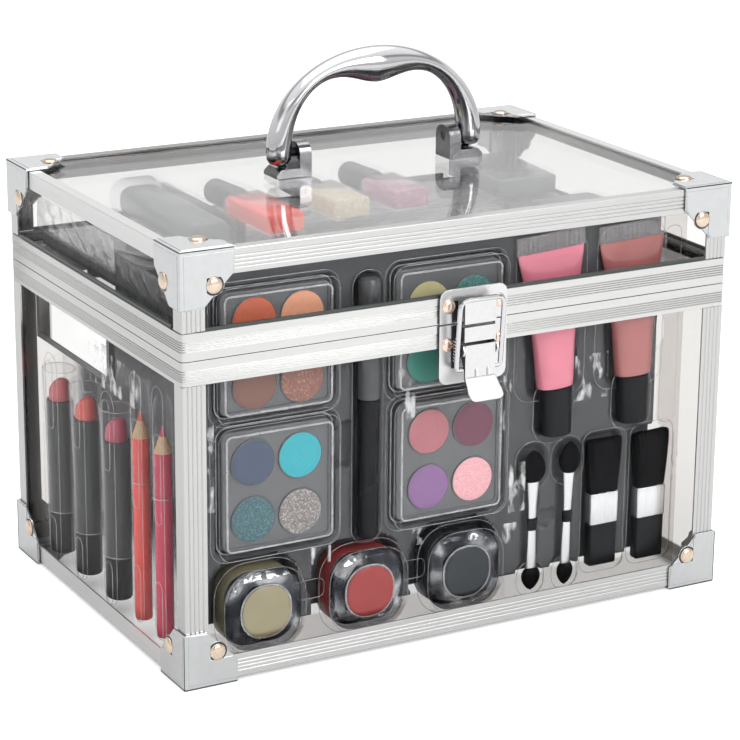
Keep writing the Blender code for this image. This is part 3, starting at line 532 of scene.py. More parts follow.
# ---- finishes of the frame ----
def node_material(name):
    # the back top rail takes the darker copy of the aluminium: painted shade
    if name == "lid_top_rail_back":
        return M["rail_back"]
    if name.startswith(("base_bottom_rail", "lid_top_rail")):
        return M["rail_y"] if name.endswith(("left", "right")) else M["rail_x"]
    rules = (
        (("base_post", "lid_post"), "rail_z"),
        (("base_rim", "lid_rim"), "rim"),
        (("base_cap", "lid_cap", "hinge"), "nickel"),
        (("latch_keeper", "latch_base", "latch_lever"), "latch"),
        (("latch_loop",), "wire"),
        (("handle_grip",), "chrome"),
        (("handle_bracket",), "zinc"),
        (("handle_pin", "latch_pin"), "steel_dark_and_shade"),
        (("mirror_glass",), "mirror"),
        (("mirror_frame",), "frame_dark"),
        (("side_tray_cover",), "film_side"),
        (("front_tray_cover", "lid_tray_cover"), "film"),
        (("lid_top_panel",), "acrylic_top"),
        (("base_left_panel", "lid_left_panel"), "acrylic_side"),
        (("base_right_panel", "base_back_panel"), "acrylic_far"),
        (("lid_right_panel", "lid_back_panel"), "acrylic_back"),
        (("side_tray",), "smoke"),
        (("front_tray",), "tray"),
        (("lid_tray",), "deck"),
    )
    for starts, finish_name in rules:
        if name.startswith(starts):
            return M[finish_name]
    return M["acrylic"]


EDGE_ANGLE = math.radians(30)  # edges sharper than this are softened


def finish_frame():
    """Puts the finishes on the CAD nodes and softens their edges."""
    for name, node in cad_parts.items():
        for slot in node.material_slots:
            slot.material = node_material(name)
        own_normals = node.data.attributes.get("custom_normal")
        if own_normals:
            node.data.attributes.remove(own_normals)
        if name.endswith("panel") or name == "mirror_glass":
            continue
        for face in node.data.polygons:
            face.use_smooth = True
        node.data.set_sharp_from_angle(angle=EDGE_ANGLE)
        weld = node.modifiers.new("weld", "WELD")
        weld.merge_threshold = 0.00001
        soft = node.modifiers.new("edges", "BEVEL")
        soft.width = 0.00012
        soft.segments = 2
        soft.limit_method = "ANGLE"
        soft.angle_limit = EDGE_ANGLE
        soft.harden_normals = True


RIVET_PROFILE = ((3.9, -0.2), (3.9, 0.25), (3.55, 0.85), (2.9, 1.3), (1.9, 1.6), (0.8, 1.72), (0.1, 1.74))


def rivet(name, side, u, v, w, body, size=1.0, material="rivet"):
    profile = [(r * size, z * size) for r, z in RIVET_PROFILE]
    loft(name, round_rings(profile, 24), place(side, u, v, w), body, material)


def cap_face(name, where, body, shadow_edges):
    """Dress of one face of a corner cap, in the face's own frame with its corner at the origin: the sheet with its
    filled inner corner, the raised L on it, the dark line painted as shadow along its outer edges and the rivet."""
    inward, near, leg = 15.8, 1.9, 25.3
    lobe = [math.radians(a) for a in (-20, 10, 45, 80, 110)]
    inner = [(inward + 4.9 * math.cos(a), inward + 4.9 * math.sin(a)) for a in lobe]
    sheet = [(0.15, 0.15), (leg + 0.2, 0.15), (leg - 0.5, 10.9), *inner, (10.9, leg - 0.5), (0.15, leg + 0.2)]
    raised = [(near, near), (leg, near), (leg - 0.5, 10.8), (leg - 2.0, 12.3), (12.3, 12.3), (12.3, leg - 2.0),
            (10.8, leg - 0.5), (near, leg)]
    for tag, outline, low, high in (("sheet", sheet, -0.1, 0.12), ("raised", raised, 0.1, 0.34)):
        cu = sum(u for u, _ in outline) / len(outline)
        cv = sum(v for _, v in outline) / len(outline)
        small = [(u + 0.012 * (cu - u), v + 0.012 * (cv - v)) for u, v in outline]
        rings = [[(u, v, low) for u, v in outline], [(u, v, high - 0.1) for u, v in outline],
                [(u, v, high) for u, v in small]]
        loft(f"{name}_{tag}", rings, where, body, "nickel", smooth=20)
    for k, (width, height, u, v) in enumerate(((leg, 0.55, leg / 2, 0.2), (0.55, leg, 0.2, leg / 2))):
        if shadow_edges[k]:
            strip = [[(x + u, y + v, z) for x, y in rrect(width, height, 0.25, 2)] for z in (0.05, 0.16)]
            loft(f"{name}_edge_{k}", strip, where, body, "steel_dark_and_shade")
    spot = where @ Matrix.Translation((inward, inward, 0))
    loft(name + "_rivet_seat", round_rings(((4.5, 0.0), (4.5, 0.2), (3.8, 0.36)), 24), spot, body, "steel_dark_and_shade")
    loft(name + "_rivet", round_rings(RIVET_PROFILE, 24), spot, body, "rivet")


def cap_dress():
    """Every outer face of the eight corner caps."""
    half_w, half_d, cy, height = 140.0, 97.5, 4.9, 197.0
    for part in ("base", "lid"):
        up = 1 if part == "base" else -1
        z = 0.0 if part == "base" else height
        for depth, sy in (("front", -1), ("back", 1)):
            for side, sx in (("left", -1), ("right", 1)):
                name = f"{part}_cap_{depth}_{side}"
                corner = Vector((sx * half_w, cy + sy * half_d, z))
                faces = [("face", (-sx, 0, 0), (0, 0, up), (0, sy, 0), (True, False)),
                        ("side", (0, -sy, 0), (0, 0, up), (sx, 0, 0), (True, part == "base"))]
                if part == "lid":
                    faces.append(("top", (-sx, 0, 0), (0, -sy, 0), (0, 0, 1), (False, False)))
                for tag, along, across, out, edges in faces:
                    axes = Matrix([Vector(along), Vector(across), Vector(out)]).transposed().to_4x4()
                    cap_face(f"{name}_{tag}", Matrix.Scale(MM, 4) @ Matrix.Translation(corner) @ axes, part,
                            edges)


def gaskets():
    """Dark seals that stand on the lid's rim at the foot of its windows."""
    low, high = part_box("lid_rim")
    top = high[2] / MM
    for side, wide, u, out in (("front", 256, 0, -low[1]), ("back", 256, 0, high[1]),
            ("left", 171, -4.9, -low[0]), ("right", 171, 4.9, high[0])):
        seal = [[(x, y, w) for x, y in rrect(wide, 1.5, 0.3, 3)] for w in (-1.75, -0.85, -0.7)]
        loft(f"gasket_{side}", seal, place(side, u, top + 0.75, out / MM), "lid", "gasket")


def latch_dress():
    """Copper rivets, dark plates painted as the shade of the recesses beside the blocks, spring, ribs and rounded tab
    of the lever.
    """
    x, plate = 2.0, 93.3
    for sign, side in ((-1, "left"), (1, "right")):
        rivet(f"latch_keeper_rivet_{side}", "front", x + sign * 12.8, 157.2, plate, "lid", 0.84, "copper")
        rivet(f"latch_plate_rivet_{side}", "front", x + sign * 13.1, 139.6, plate, "base", 0.80, "copper")
        # thin dark plates beside the blocks are painted shade where the recesses lie in shadow
        for part, low, high in (("lid", 149.6, 159.6), ("base", 128.5, 148.3)):
            name = f"latch_recess_shade_{part}_{side}"
            shade = prism_rings(3.2, high - low, 0.6, ((0.1, 0.0), (0, 0.15), (0.1, 0.3)))
            loft(name, shade, place("front", x + sign * 9.6, (low + high) / 2, plate), part, "steel_dark_and_shade")
    coils, radius, wire = 7, 1.5, 0.34
    rings = []
    for i in range(coils * 14 + 1):
        t = i / 14 * 2 * math.pi
        centre = Vector((radius * math.cos(t), i / 14 * 1.5, radius * math.sin(t)))
        outward = Vector((math.cos(t), 0, math.sin(t)))
        rings.append([centre + wire * (math.cos(a) * outward + math.sin(a) * Vector((0, 1, 0)))
                for a in (math.pi / 3 * k for k in range(6))])
    loft("latch_spring", rings, place("front", x - 9.6, 132.0, plate + 2.3), "base", "wire")
    face, ribs, rise = 99.95, (-1.9, 4.2), 0.30
    for k, du in enumerate(ribs):
        dome = prism_rings(1.7, 4.2, 0.8, ((0, -0.1), (0.1, rise * 0.6), (0.35, rise), (0.6, rise * 1.15)), 5)
        loft(f"latch_lever_rib_{k}", dome, place("front", x + du, 127.2, face), "lever", "latch")
    bm = bmesh.new()
    rows, cols = 14, 18
    grid = []
    for j in range(rows + 1):
        t = j / rows
        down = t * 9.0
        out = 0.15 + 6.6 * min(1.0, t * 1.15) ** 1.1
        corner = max(0.0, down - 5.9)
        half = 7.75 + 1.0 * t - 0.9 * (3.1 - math.sqrt(max(0.0, 3.1**2 - corner**2)))
        row = []
        for i in range(cols + 1):
            u = -half + 2 * half * i / cols
            bulge = sum(0.45 * math.exp(-(((u - r) / 0.8) ** 2)) for r in ribs) * max(0.0, 1 - abs(t - 0.25) * 3)
            row.append(bm.verts.new((u, -down, out + bulge)))
        grid.append(row)
    for a, b in zip(grid, grid[1:]):
        for i in range(cols):
            bm.faces.new((a[i], b[i], b[i + 1], a[i + 1]))
    finish("latch_tab_face", bm, place("front", x, 125.2, face + 0.1), "lever", "tab", thick=0.4)


def small_fixings():
    """Screws of the handle's brackets and rivets of the hinges."""
    for side in ("left", "right"):
        low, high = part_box("handle_bracket_" + side)
        x = (high[0] - 0.0062 if side == "right" else low[0] + 0.0062) / MM
        y = (low[1] + high[1]) / 2 / MM
        slot_free = ((2.2, 0.0), (2.2, 0.4), (1.7, 0.8), (0.9, 0.95), (0.8, 0.55), (0.1, 0.5))
        loft(f"bracket_screw_{side}", round_rings(slot_free, 20), place("top", x, y, 199.1), "lid", "steel_dark_and_shade")
        for part, body in (("base", "base"), ("lid", "lid")):
            low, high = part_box(f"hinge_{side}_{part}_leaf")
            leaf_z = (low[2] + 0.0065 if part == "base" else high[2] - 0.0065) / MM
            for k, u in enumerate((-10.0, 10.0)):
                x = (low[0] + high[0]) / 2 / MM + u
                rivet(f"hinge_{side}_{part}_rivet_{k}", "back", -x, leaf_z, low[1] / MM + 1.0, body, 0.62)


# ---- contents ----
TRAY_Y = -77.3  # front surface of the display tray, row frame
FILM_Y = -78.0
HELD_Y = 79.2  # middle of the brushes and applicators, in front of the case's middle
# palettes: middle (u, v), (shift along u, along v, half the pitch) of the pans, and their four colours
QUADS = {
    "a": (-88.4, 145.0, (1.4, -0.9, 14.8),
          ((0.70, 0.17, 0.09), (1.0, 0.44, 0.27), (0.27, 0.15, 0.12), (0.33, 0.165, 0.135))),
    "b": (-88.0, 82.2, (0.0, -1.0, 13.2),
          ((0.105, 0.13, 0.19), (0.07, 0.48, 0.55), (0.09, 0.16, 0.18), (0.25, 0.225, 0.215))),
    "c": (-2.4, 144.6, (1.6, -2.7, 13.2),
          ((0.62, 0.55, 0.30), (0.09, 0.24, 0.22), (0.06, 0.27, 0.21), (0.10, 0.16, 0.16))),
    "d": (-1.2, 82.2, (1.6, -0.4, 13.2),
          ((0.54, 0.21, 0.235), (0.21, 0.085, 0.12), (0.32, 0.18, 0.37), (0.98, 0.46, 0.50))),
}
SHIMMER = {
    ("b", 2): (2600, 0.25, (0.16, 0.34, 0.36)),
    ("b", 3): (2600, 0.32, (0.66, 0.61, 0.59)),
    ("c", 0): (2400, 0.40, (0.62, 0.62, 0.28)),
    ("c", 1): (2400, 0.25, (0.20, 0.42, 0.38)),
    ("d", 3): (2200, 0.25, (0.98, 0.66, 0.66)),
    ("a", 3): (2400, 0.15, (0.62, 0.36, 0.28)),
}


def quad(key, u, v, pans, colours):
    """A four-pan palette: tray, four pans and powders, clear lid."""
    base = -TRAY_Y - 4.3
    tag = f"palette_{key}"
    loft(tag + "_tray", prism_rings(53.5, 55, 3.5, ((0.6, 0), (0, 0.6), (0, 5.2), (0.5, 5.6), (1.1, 5.6),
            (1.4, 5.0))), place("front", u, v, base), "base", "palette")
    for k, colour in enumerate(colours):
        shift_u, shift_v, rise = pans
        du, dv = (-11.6, 11.6)[k % 2] + shift_u, (rise, -rise)[k // 2] + shift_v
        where = place("front", u + du, v + dv, base)
        loft(f"{tag}_pan_{k}", round_rings(((10.4, 4.6), (10.75, 5.1), (10.8, 5.7), (10.6, 5.8), (10.3, 5.5)),
                40), where, "base", "pan_rim")
        dome = ((10.3, 5.2), (10.3, 5.55), (9.9, 5.75), (7.0, 5.85), (3.0, 5.9), (0.1, 5.9))
        loft(f"{tag}_powder_{k}", round_rings(dome, 40), where, "base",
             powder(f"powder_{key}{k}", colour, SHIMMER.get((key, k))))
    lid = ((0.0, 3.0), (0.0, 7.6), (0.35, 8.2), (1.2, 8.6), (3.2, 8.7))
    loft(tag + "_lid", prism_rings(56.5, 58, 5.0, lid), place("front", u, v, base), "base", "lid_clear")
    # the lid's ridge and foot rings carry painted highlight lines along its edges
    ridge = ((2.0, 8.7), (2.0, 9.1), (2.5, 9.2), (2.9, 9.1), (2.9, 8.7))
    ring_piece(tag + "_lid_ridge", 56.5, 58, 5.0, ridge, place("front", u, v, base), "base", "highlight_line")
    foot = ((0.0, 2.6), (-0.5, 2.7), (-0.5, 3.3), (0.0, 3.4))
    ring_piece(tag + "_lid_foot", 56.5, 58, 5.0, foot, place("front", u, v, base), "base", "highlight_line")


def ring_piece(name, w, h, r, profile, where, body, material):
    """A closed frame: the profile's (inset, height) loop swept round a rounded rectangle."""
    bm = bmesh.new()
    rows = [[bm.verts.new(p) for p in ring] for ring in prism_rings(w, h, r, profile)]
    n = len(rows[0])
    for k, a in enumerate(rows):
        b = rows[(k + 1) % len(rows)]
        for i in range(n):
            bm.faces.new((a[i], a[(i + 1) % n], b[(i + 1) % n], b[i]))
    return finish(name, bm, where, body, material)


def outline(name, side, u, v, wide, tall, corner, w, body, turn=0.0):
    """A fine line painted as the highlight where a formed film turns."""
    loop = ((-0.16, 0.0), (0.0, 0.22), (0.16, 0.0), (0.0, -0.16))
    ring_piece(name, wide, tall, corner, loop, place(side, u, v, w, turn=turn), body, "highlight_line")


def crumple(name, side, box, w, reach, body, material, middle):
    """A crumpled sheet over box, which is measured from middle, with creases reach millimetres deep."""
    u0, u1, v0, v1 = box
    span_u, span_v = u1 - u0, v1 - v0

    def height(u, v):
        fade = np.sin(np.pi * (u - u0) / span_u) * np.sin(np.pi * (v - v0) / span_v)
        folds = np.abs(np.sin(u * 0.21 + 1.3 * np.sin(v * 0.17))) + np.abs(np.sin(v * 0.33 + 1.9 * np.sin(u * 0.11)))
        fine = 0.4 * np.abs(np.sin(0.7 * u + 0.9 * v + 2.0 * np.sin(0.23 * u)))
        return reach * (folds + fine - 1.4) * (0.35 + 0.65 * fade)

    return sheet_grid(name, box, 0.8, height, place(side, *middle, w), body, material, 0.15)


def pen(u, low, split, high):
    w = 79.5
    where = place("front", u, 0, w, tip=UP)
    loft("eye_pen_barrel", round_rings(((3.6, low), (4.4, low + 0.8), (4.9, low + 3), (5.0, split - 0.6),
            (4.6, split - 0.2), (4.3, split + 2)), 28), where, "base", "black")
    loft("eye_pen_cap", round_rings(((4.7, split), (5.1, split + 0.4), (5.1, high - 6), (4.9, high - 2),
            (4.0, high - 0.5), (2.0, high)), 28), where, "base", "pen_grey")


JARS = ((-97.0, (0.36, 0.315, 0.20)), (-45.0, (0.37, 0.055, 0.055)), (5.6, (0.028, 0.034, 0.038)))


def jar(k, u, v, colour):
    """Square jar seen from its lid: coloured pot, swirling clear lid and a coloured disc in its middle."""
    cream = gloss(f"cream_{k}", colour, 0.3)
    pot = gloss(f"pot_{k}", shaded(colour, 0.75), 0.25)
    where = place("front", u, v, 0)
    loft(f"jar_{k}_pot", prism_rings(35.5, 35.5, 11, edge(66.5, 79.0, 1.6)), where, "base", pot)
    loft(f"jar_{k}_collar", prism_rings(34.5, 34.5, 10.5, edge(79.1, 79.9, 0.3)), where, "base", "pan_rim")
    loft(f"jar_{k}_glass", prism_rings(37, 37, 12, ((1.8, 80.0), (0.5, 80.6), (0, 81.8), (0, 83.0), (0.5, 84.2),
            (1.6, 85.2), (3.2, 85.8), (5.2, 86.0), (6.0, 85.6))), where, "base", "jar_glass")
    # a milky ring round the disc is a painted highlight line
    well = prism_rings(25.5, 25.5, 11.5, ((0, 86.0), (0.3, 86.25), (0.8, 86.2), (1.0, 85.9)))
    loft(f"jar_{k}_well", well, where, "base", "highlight_line")
    face = prism_rings(23.6, 23.6, 10.6, ((0.8, 86.1), (0.2, 86.25), (0, 86.45), (0.3, 86.7), (2, 86.85),
            (6, 86.9)))
    loft(f"jar_{k}_disc", face, where, "base", cream)


def gloss_tube(k, top_u, low_u, colour):
    """Squeeze tube: flat ribbed crimp above, round shoulder and black cap below."""
    lean = math.degrees(math.atan2(low_u - top_u, 68))
    where = place("front", low_u, 107.5, 79.0, turn=lean)
    n = 48
    levels = ((0, 9.0, 5.4), (4, 9.5, 5.6), (20, 10.6, 5.3), (40, 13.2, 4.2), (56, 16.2, 2.4), (62, 17.4, 1.2),
            (64.8, 17.6, 0.7))

    def section(z, a, b):
        ring = []
        for i in range(n):
            t = 2 * math.pi * i / n
            c, s = math.cos(t), math.sin(t)
            ring.append((a * math.copysign(abs(c) ** 0.85, c), z, b * math.copysign(abs(s) ** 0.85, s)))
        return ring

    loft(f"gloss_tube_{k}_body", [section(*one) for one in levels], where, "base",
         gloss(f"lip_gloss_{k}", colour, 0.16, Coat_Weight=0.6, Coat_Roughness=0.05))
    skin = [section(z, a + 0.7, b + 0.45) for z, a, b in levels[:-1]]
    loft(f"gloss_tube_{k}_skin", skin, where, "base", "cap_clear")
    crimp = []
    for z in (64.9, 66.0, 72.4, 73.0):
        ring = []
        for i in range(2 * 60):
            side = 1 if i < 60 else -1
            x = (i if side > 0 else 119 - i) / 59 * 36 - 18
            rib = 0.45 + (0.28 if i % 4 < 2 and 65 < z < 73 else 0.0)
            ring.append((-x, z, side * rib))
        crimp.append(ring)
    loft(f"gloss_tube_{k}_crimp", crimp, where, "base", "crimp", smooth=20)
    cap = ((6.9, -23.6), (7.4, -23.2), (7.6, -22), (8.3, -1.6), (8.2, -0.6), (7.6, -0.2))
    loft(f"gloss_tube_{k}_cap", round_rings(cap, 36, 0.8), where @ UP, "base", "black")


def applicator(k, u, top, band_top, band_low, foot, wide, turn):
    where = place("front", u, 0, HELD_Y) @ Matrix.Rotation(math.radians(turn), 4, "Z") @ UP

    def sponge(name, z0, z1, r):
        count = 9
        profile = []
        for i in range(count + 1):
            t = i / count
            profile.append((max(0.15, r * math.sin(math.pi * (0.06 + 0.94 * t) ** 0.8) ** 0.62),
                    z0 + (z1 - z0) * t))
        loft(name, round_rings(profile, 28, 0.5), where, "base", "sponge")

    tag = f"applicator_{k}"
    sponge(tag + "_sponge_top", top - 15.5, top, wide)
    sponge(tag + "_sponge_low", foot + 11.5, foot, wide * 0.78)
    loft(tag + "_shaft_top", round_rings(((2.2, band_top), (2.3, band_top + 6), (3.2, top - 14.5),
            (3.0, top - 13)), 20, 0.45), where, "base", "silver")
    loft(tag + "_shaft_low", round_rings(((2.4, foot + 9.6), (2.9, foot + 11), (2.4, band_low - 7),
            (2.2, band_low)), 20, 0.45), where, "base", "silver")
    loft(tag + "_band", round_rings(((2.4, band_low), (2.7, band_low + 0.4), (2.7, band_top - 0.4),
            (2.4, band_top)), 20, 0.6), where, "base", "black")


def brush(k, u, low, ferrule_low, ferrule_top, top, width):
    where = place("front", u, 0, HELD_Y)
    deep = 6.0
    local = np.random.default_rng(40 + k)
    n = 72

    def ring(z, w, d, rough=0.0, lift=0.0):
        points = []
        for i in range(n):
            t = 2 * math.pi * i / n
            c, s = math.cos(t), math.sin(t)
            x = w / 2 * math.copysign(abs(c) ** 0.35, c) + strands[i] * rough
            y = d / 2 * math.copysign(abs(s) ** 0.35, s) + strands[(i * 7) % n] * rough
            points.append((x, z + lift * strands[(i * 5) % n], y))
        return points

    strands = local.uniform(-1, 1, n)
    hair = [ring(ferrule_top - 1, width * 0.95, deep * 0.8), ring(ferrule_top + 1, width * 0.98, deep * 0.9,
            0.15),
            ring(ferrule_top + 10, width * 1.06, deep, 0.3), ring(top - 5, width * 1.18, deep * 0.9, 0.4, 0.2),
            ring(top - 1.2, width * 1.2, deep * 0.7, 0.45, 0.9), ring(top - 0.4, width * 1.1, deep * 0.35, 0.3,
            1.0)]
    loft(f"brush_{k}_bristles", hair, where, "base", "bristle", smooth=50)
    loft(f"brush_{k}_ferrule", prism_rings(width, 6.4, 1.2, edge(ferrule_low, ferrule_top, 0.4)), where @ UP,
         "base", "silver")
    loft(f"brush_{k}_handle", prism_rings(width - 0.6, 5.8, 1.2, edge(low, ferrule_low + 0.6, 1.0)), where @ UP,
         "base", "black")


def circle_line(name, radius, z, where, flat=1.0):
    """A fine ring painted as the highlight round a clear cap."""
    ring = [(radius + 0.24 * math.cos(a),
            z + 0.24 * math.sin(a)) for a in (2 * math.pi * i / 8 for i in range(9))]
    loft(name, round_rings(ring, 32, flat), where, "base", "highlight_line", closed=False)


def lip_pencil(k, v, tip_colour):
    """Jumbo lip pencil: black foot, grey barrel, slanted tip, long clear cap."""
    where = place("left", -v, 0, 127.2, tip=UP)
    tag = f"lip_pencil_{k}"
    flat = 0.84
    foot = ((6.2, 6.3), (6.9, 6.7), (7.2, 7.6), (7.3, 26.4), (6.7, 26.9))
    loft(tag + "_foot", round_rings(foot, 32, flat), where, "base", "black")
    barrel = ((7.2, 27.0), (7.3, 60.0), (7.6, 82.6), (7.1, 83.5))
    loft(tag + "_barrel", round_rings(barrel, 32, flat), where, "base", "barrel")
    rings = []
    for z, r, slant in ((83.6, 6.0, 0.0), (86.5, 6.0, 0.25), (88.8, 5.9, 0.6), (90.8, 5.4, 0.7), (92.4, 4.0, 0.7),
            (93.4, 2.0, 0.7), (93.7, 0.4, 0.7)):
        rings.append([(r * math.cos(a), flat * r * math.sin(a), z + slant * r * math.cos(a))
                for a in (2 * math.pi * i / 28 for i in range(28))])
    loft(tag + "_tip", rings, where, "base", gloss(f"lip_colour_{k}", tip_colour, 0.35))
    cap = ((7.8, 27.1), (8.1, 50.0), (9.2, 90.0), (9.4, 98.6), (9.2, 99.4), (8.6, 99.6), (0.2, 99.6))
    loft(tag + "_cap", round_rings(cap, 32, 0.8), where, "base", "cap_clear")
    circle_line(tag + "_cap_line_top", 9.4, 99.0, where, 0.8)
    circle_line(tag + "_cap_line_low", 7.8, 27.6, where, 0.86)


def lip_liner(k, v, colour, tip_colour):
    where = place("left", -v, 0, 129.3, tip=UP)
    tag = f"lip_liner_{k}"
    paint = gloss(f"liner_paint_{k}", colour, 0.28)
    loft(tag + "_barrel", round_rings(((3.4, 7.8), (3.9, 8.2), (4.0, 9), (4.0, 95)), 24), where, "base", paint)
    loft(tag + "_wood", round_rings(((4.0, 95.1), (3.5, 96.6), (1.6, 102.6)), 24), where, "base", "wood")
    loft(tag + "_tip", round_rings(((1.5, 102.7), (0.9, 105), (0.25, 107.4)), 24), where, "base",
         gloss(f"liner_tip_{k}", tip_colour, 0.4))
    cap = ((4.6, 73.7), (4.7, 74.2), (4.7, 108), (4.5, 114), (3.5, 119.5), (2.1, 121.6), (0.2, 122.2))
    loft(tag + "_cap", round_rings(cap, 24), where, "base", "cap_clear")
    circle_line(f"{tag}_cap_line", 4.7, 74.2, where)


def nail_polish(k, u, v, turn, colour, length, flake=None):
    """Square glass bottle of lacquer with a turned grey cap, lying on the lid tray."""
    where = place("top", u, v, 179.0, turn=turn) @ UP
    # the lacquer glows faintly in its own colour: painted light, though the bottle is no lamp
    lacquer = surface(f"lacquer_{k}", colour, 0.22, 0.0, 700, 0.05, 0.05, 0.0, flakes=flake, Coat_Weight=0.3,
            Emission_Color=(*colour, 1), Emission_Strength=0.28)
    loft(f"nail_polish_{k}_lacquer", prism_rings(19.6, 9.6, 2.2, edge(1.0, length - 2.0, 1.5)), where, "lid",
         lacquer)
    shell = ((2.2, 0), (0.6, 0.5), (0, 2), (0, length - 3), (0.8, length - 1.4), (3.0, length), (5, length + 0.6))
    loft(f"nail_polish_{k}_bottle", prism_rings(21, 11.4, 2.8, shell), where, "lid", "cap_clear")
    cap = ((5.6, length + 0.8), (6.2, length + 1.4), (6.5, length + 3), (6.1, length + 26), (5.6, length + 27.4),
           (4.4, length + 28))
    loft(f"nail_polish_{k}_cap", round_rings(cap, 36), where, "lid", "cap_grey")



# (u, v, width, height, corner, turn) of everything the front tray holds
HELD = [(u, v, 56.5, 58, 5, 0) for u, v, _, _ in QUADS.values()]
JAR_SEATS = [(u, 27.0, 37, 37, 12.5, 0) for u, _ in JARS]
TUBES = ((1, 50.8, 55.0, (0.84, 0.25, 0.33)), (2, 94.9, 97.9, (0.48, 0.165, 0.155)))


def tray_pockets(margin):
    m = 2 * margin
    pads = [(u, v, w + m, h + m, r + margin, 4.4, 1.2) for u, v, w, h, r, _ in HELD]
    pads += [(u - 2.5, v + 1.5, w + m + 5, h + m + 3, r + margin, 11.0, 2.0) for u, v, w, h, r, _ in JAR_SEATS]
    pads += [(-43.0, 111.0, 10.2 + m, 122 + m, 5 + margin, 4.6, 2.0)]
    for _, top_u, low_u, _ in TUBES:
        pads += [((top_u + low_u) / 2, 138.0, 25 + m, 68 + m, 5, 4.4, 3.0,
                math.degrees(math.atan2(low_u - top_u, 68))), (low_u, 97.0, 16.6 + m, 24 + m, 5, 4.8, 2.0)]
    for u in (44.5, 63.4):
        pads += [(u, 69.5, 13 + m, 17 + m, 6, 3.6, 2.0), (u, 13.8, 10.5 + m, 13 + m, 5, 3.6, 2.0),
                (u, 42, 5.4 + m, 50, 2.6, 2.6, 1.2)]
    pads += [(83.0, 46.0, 17.6 + m, 64 + m, 2.5, 4.0, 1.5), (109.6, 46.0, 17.6 + m, 64 + m, 2.5, 4.0, 1.5)]
    # thumb notches
    pads += [(-52.5, 95.0, 13, 22, 6.4, 5.0, 2.0), (-72.0, 30.0, 18, 9, 3, 5.0, 2.0),
            (-20.0, 30.0, 18, 9, 3, 5.0, 2.0), (54.0, 42.0, 12, 10, 4.5, 3.0, 2.0)]
    return pads


def film_bumps(u, v):
    pads = [(a, b, w + 4, h + 4, r + 2, 5.9, 2.4) for a, b, w, h, r, _ in HELD]
    pads += [(a, b, w + 6, h + 5, r + 2.5, 9.5, 4.0) for a, b, w, h, r, _ in JAR_SEATS]
    pads += [(-43.0, 111.0, 15, 126, 6, 7.2, 4.0)]
    for _, top_u, low_u, _ in TUBES:
        turn = math.degrees(math.atan2(low_u - top_u, 68))
        pads += [((top_u + low_u) / 2 - 1, 146.0, 38, 60, 8, 5.2, 5.0, turn), (low_u, 126.0, 25, 44, 9, 7.2, 6.0),
                (low_u, 95.0, 21, 30, 8, 7.6, 5.0)]
    for a in (44.5, 63.4):
        pads += [(a, 69.5, 18, 23, 9, 5.2, 4.0), (a, 13.8, 15, 16, 7, 5.2, 4.0), (a, 42, 10, 50, 4, 3.2, 2.5)]
    pads += [(84.0, 46.0, 24, 70, 6, 5.4, 3.0), (110.6, 46.0, 24, 70, 6, 5.4, 3.0)]
    creases = ripple(u, v, ((-26, 112, 9, 0.35), (33, 60, 9, 0.5), (72, 112, 9, 0.45), (-128, 110, 7, 0.4),
            (122, 60, 8, 0.5), (30, 100, 7, 0.4), (-70, 15, 8, 0.4), (-18, 12, 8, 0.4)))
    return bump_field(u, v, pads) + creases


def fill_front():
    back = sheet_grid("front_tray_sheet", (-125.5, 112.0, 17.0, 182.0), 1.25,
            lambda u, v: -bump_field(u, v, tray_pockets(1.6)),
            place("front", 0, 0, -TRAY_Y - 0.4), "base", "tray", 0.7)
    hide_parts("front_tray")
    film = sheet_grid("front_tray_film", (-128.5, 126.0, 5.2, 182.6), 1.25, film_bumps,
            place("front", 0, 0, -FILM_Y + 0.3), "base", "film", 0.3)
    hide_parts("front_tray_cover")
    for key, (u, v, pans, colours) in QUADS.items():
        quad(key, u, v, pans, colours)
    pen(-43.0, 50.5, 116.0, 171.6)
    for k, (u, colour) in enumerate(JARS, 1):
        jar(k, u, 27.0, colour)
    for one in TUBES:
        gloss_tube(*one)
    foot, crest = 78.6, 84.1
    for key, (u, v, _, _) in QUADS.items():
        outline(f"film_foot_{key}", "front", u - 0.6, v, 63.5, 64.5, 7.5, foot, "base")
        outline(f"film_crest_{key}", "front", u - 0.4, v, 59.5, 61.0, 6.5, crest - 1.2, "base")
    for k, (u, _) in enumerate(JARS, 1):
        outline(f"film_jar_{k}", "front", u, 27.0, 44, 43, 15, foot, "base")
        outline(f"film_jar_crest_{k}", "front", u, 27.0, 40, 39, 14, 85.2, "base")
    for k, (u, v, wide, tall, corner) in enumerate((
            (-43, 111, 15.5, 127, 7), (44.5, 69.5, 19, 24, 9), (63.6, 69.5, 18, 24, 9), (44.5, 13.8, 15, 17, 7),
            (63.4, 13.8, 14, 17, 7), (84, 46, 24.5, 71, 6), (110.6, 46, 24.5, 71, 6), (55, 95, 22, 31, 9),
            (97.9, 95, 22, 31, 9), (52, 140, 38, 78, 9), (95.6, 140, 38, 78, 9), (-125, 94, 4, 172, 2),
            (118.5, 128, 9, 96, 4), (-71.5, 30, 14, 9, 3), (-19.5, 30, 14, 9, 3))):
        outline(f"film_line_{k}", "front", u, v, wide, tall, corner, foot, "base")
    for k, (u, v, wide, tall) in enumerate(((-25, 116, 9, 24), (34, 62, 9, 24), (73, 110, 18, 22),
            (29, 104, 7, 26), (-68, 47, 10, 8), (-17, 47, 12, 8), (31, 40, 9, 10), (-123, 96, 6, 40))):
        crumple(f"film_glare_{k}", "front", (-wide / 2, wide / 2, -tall / 2, tall / 2), 82.0, 0.5, "base",
                "glint", middle=(u, v))
    applicator(1, 44.6, 77.6, 44.2, 38.2, 8.2, 6.4, 0)
    applicator(2, 63.2, 79.0, 45.0, 39.2, 7.6, 5.6, -1.0)
    brush(1, 83.0, 14.8, 35.8, 51.2, 77.2, 15.6)
    brush(2, 109.6, 13.8, 34.9, 50.0, 77.2, 16.0)


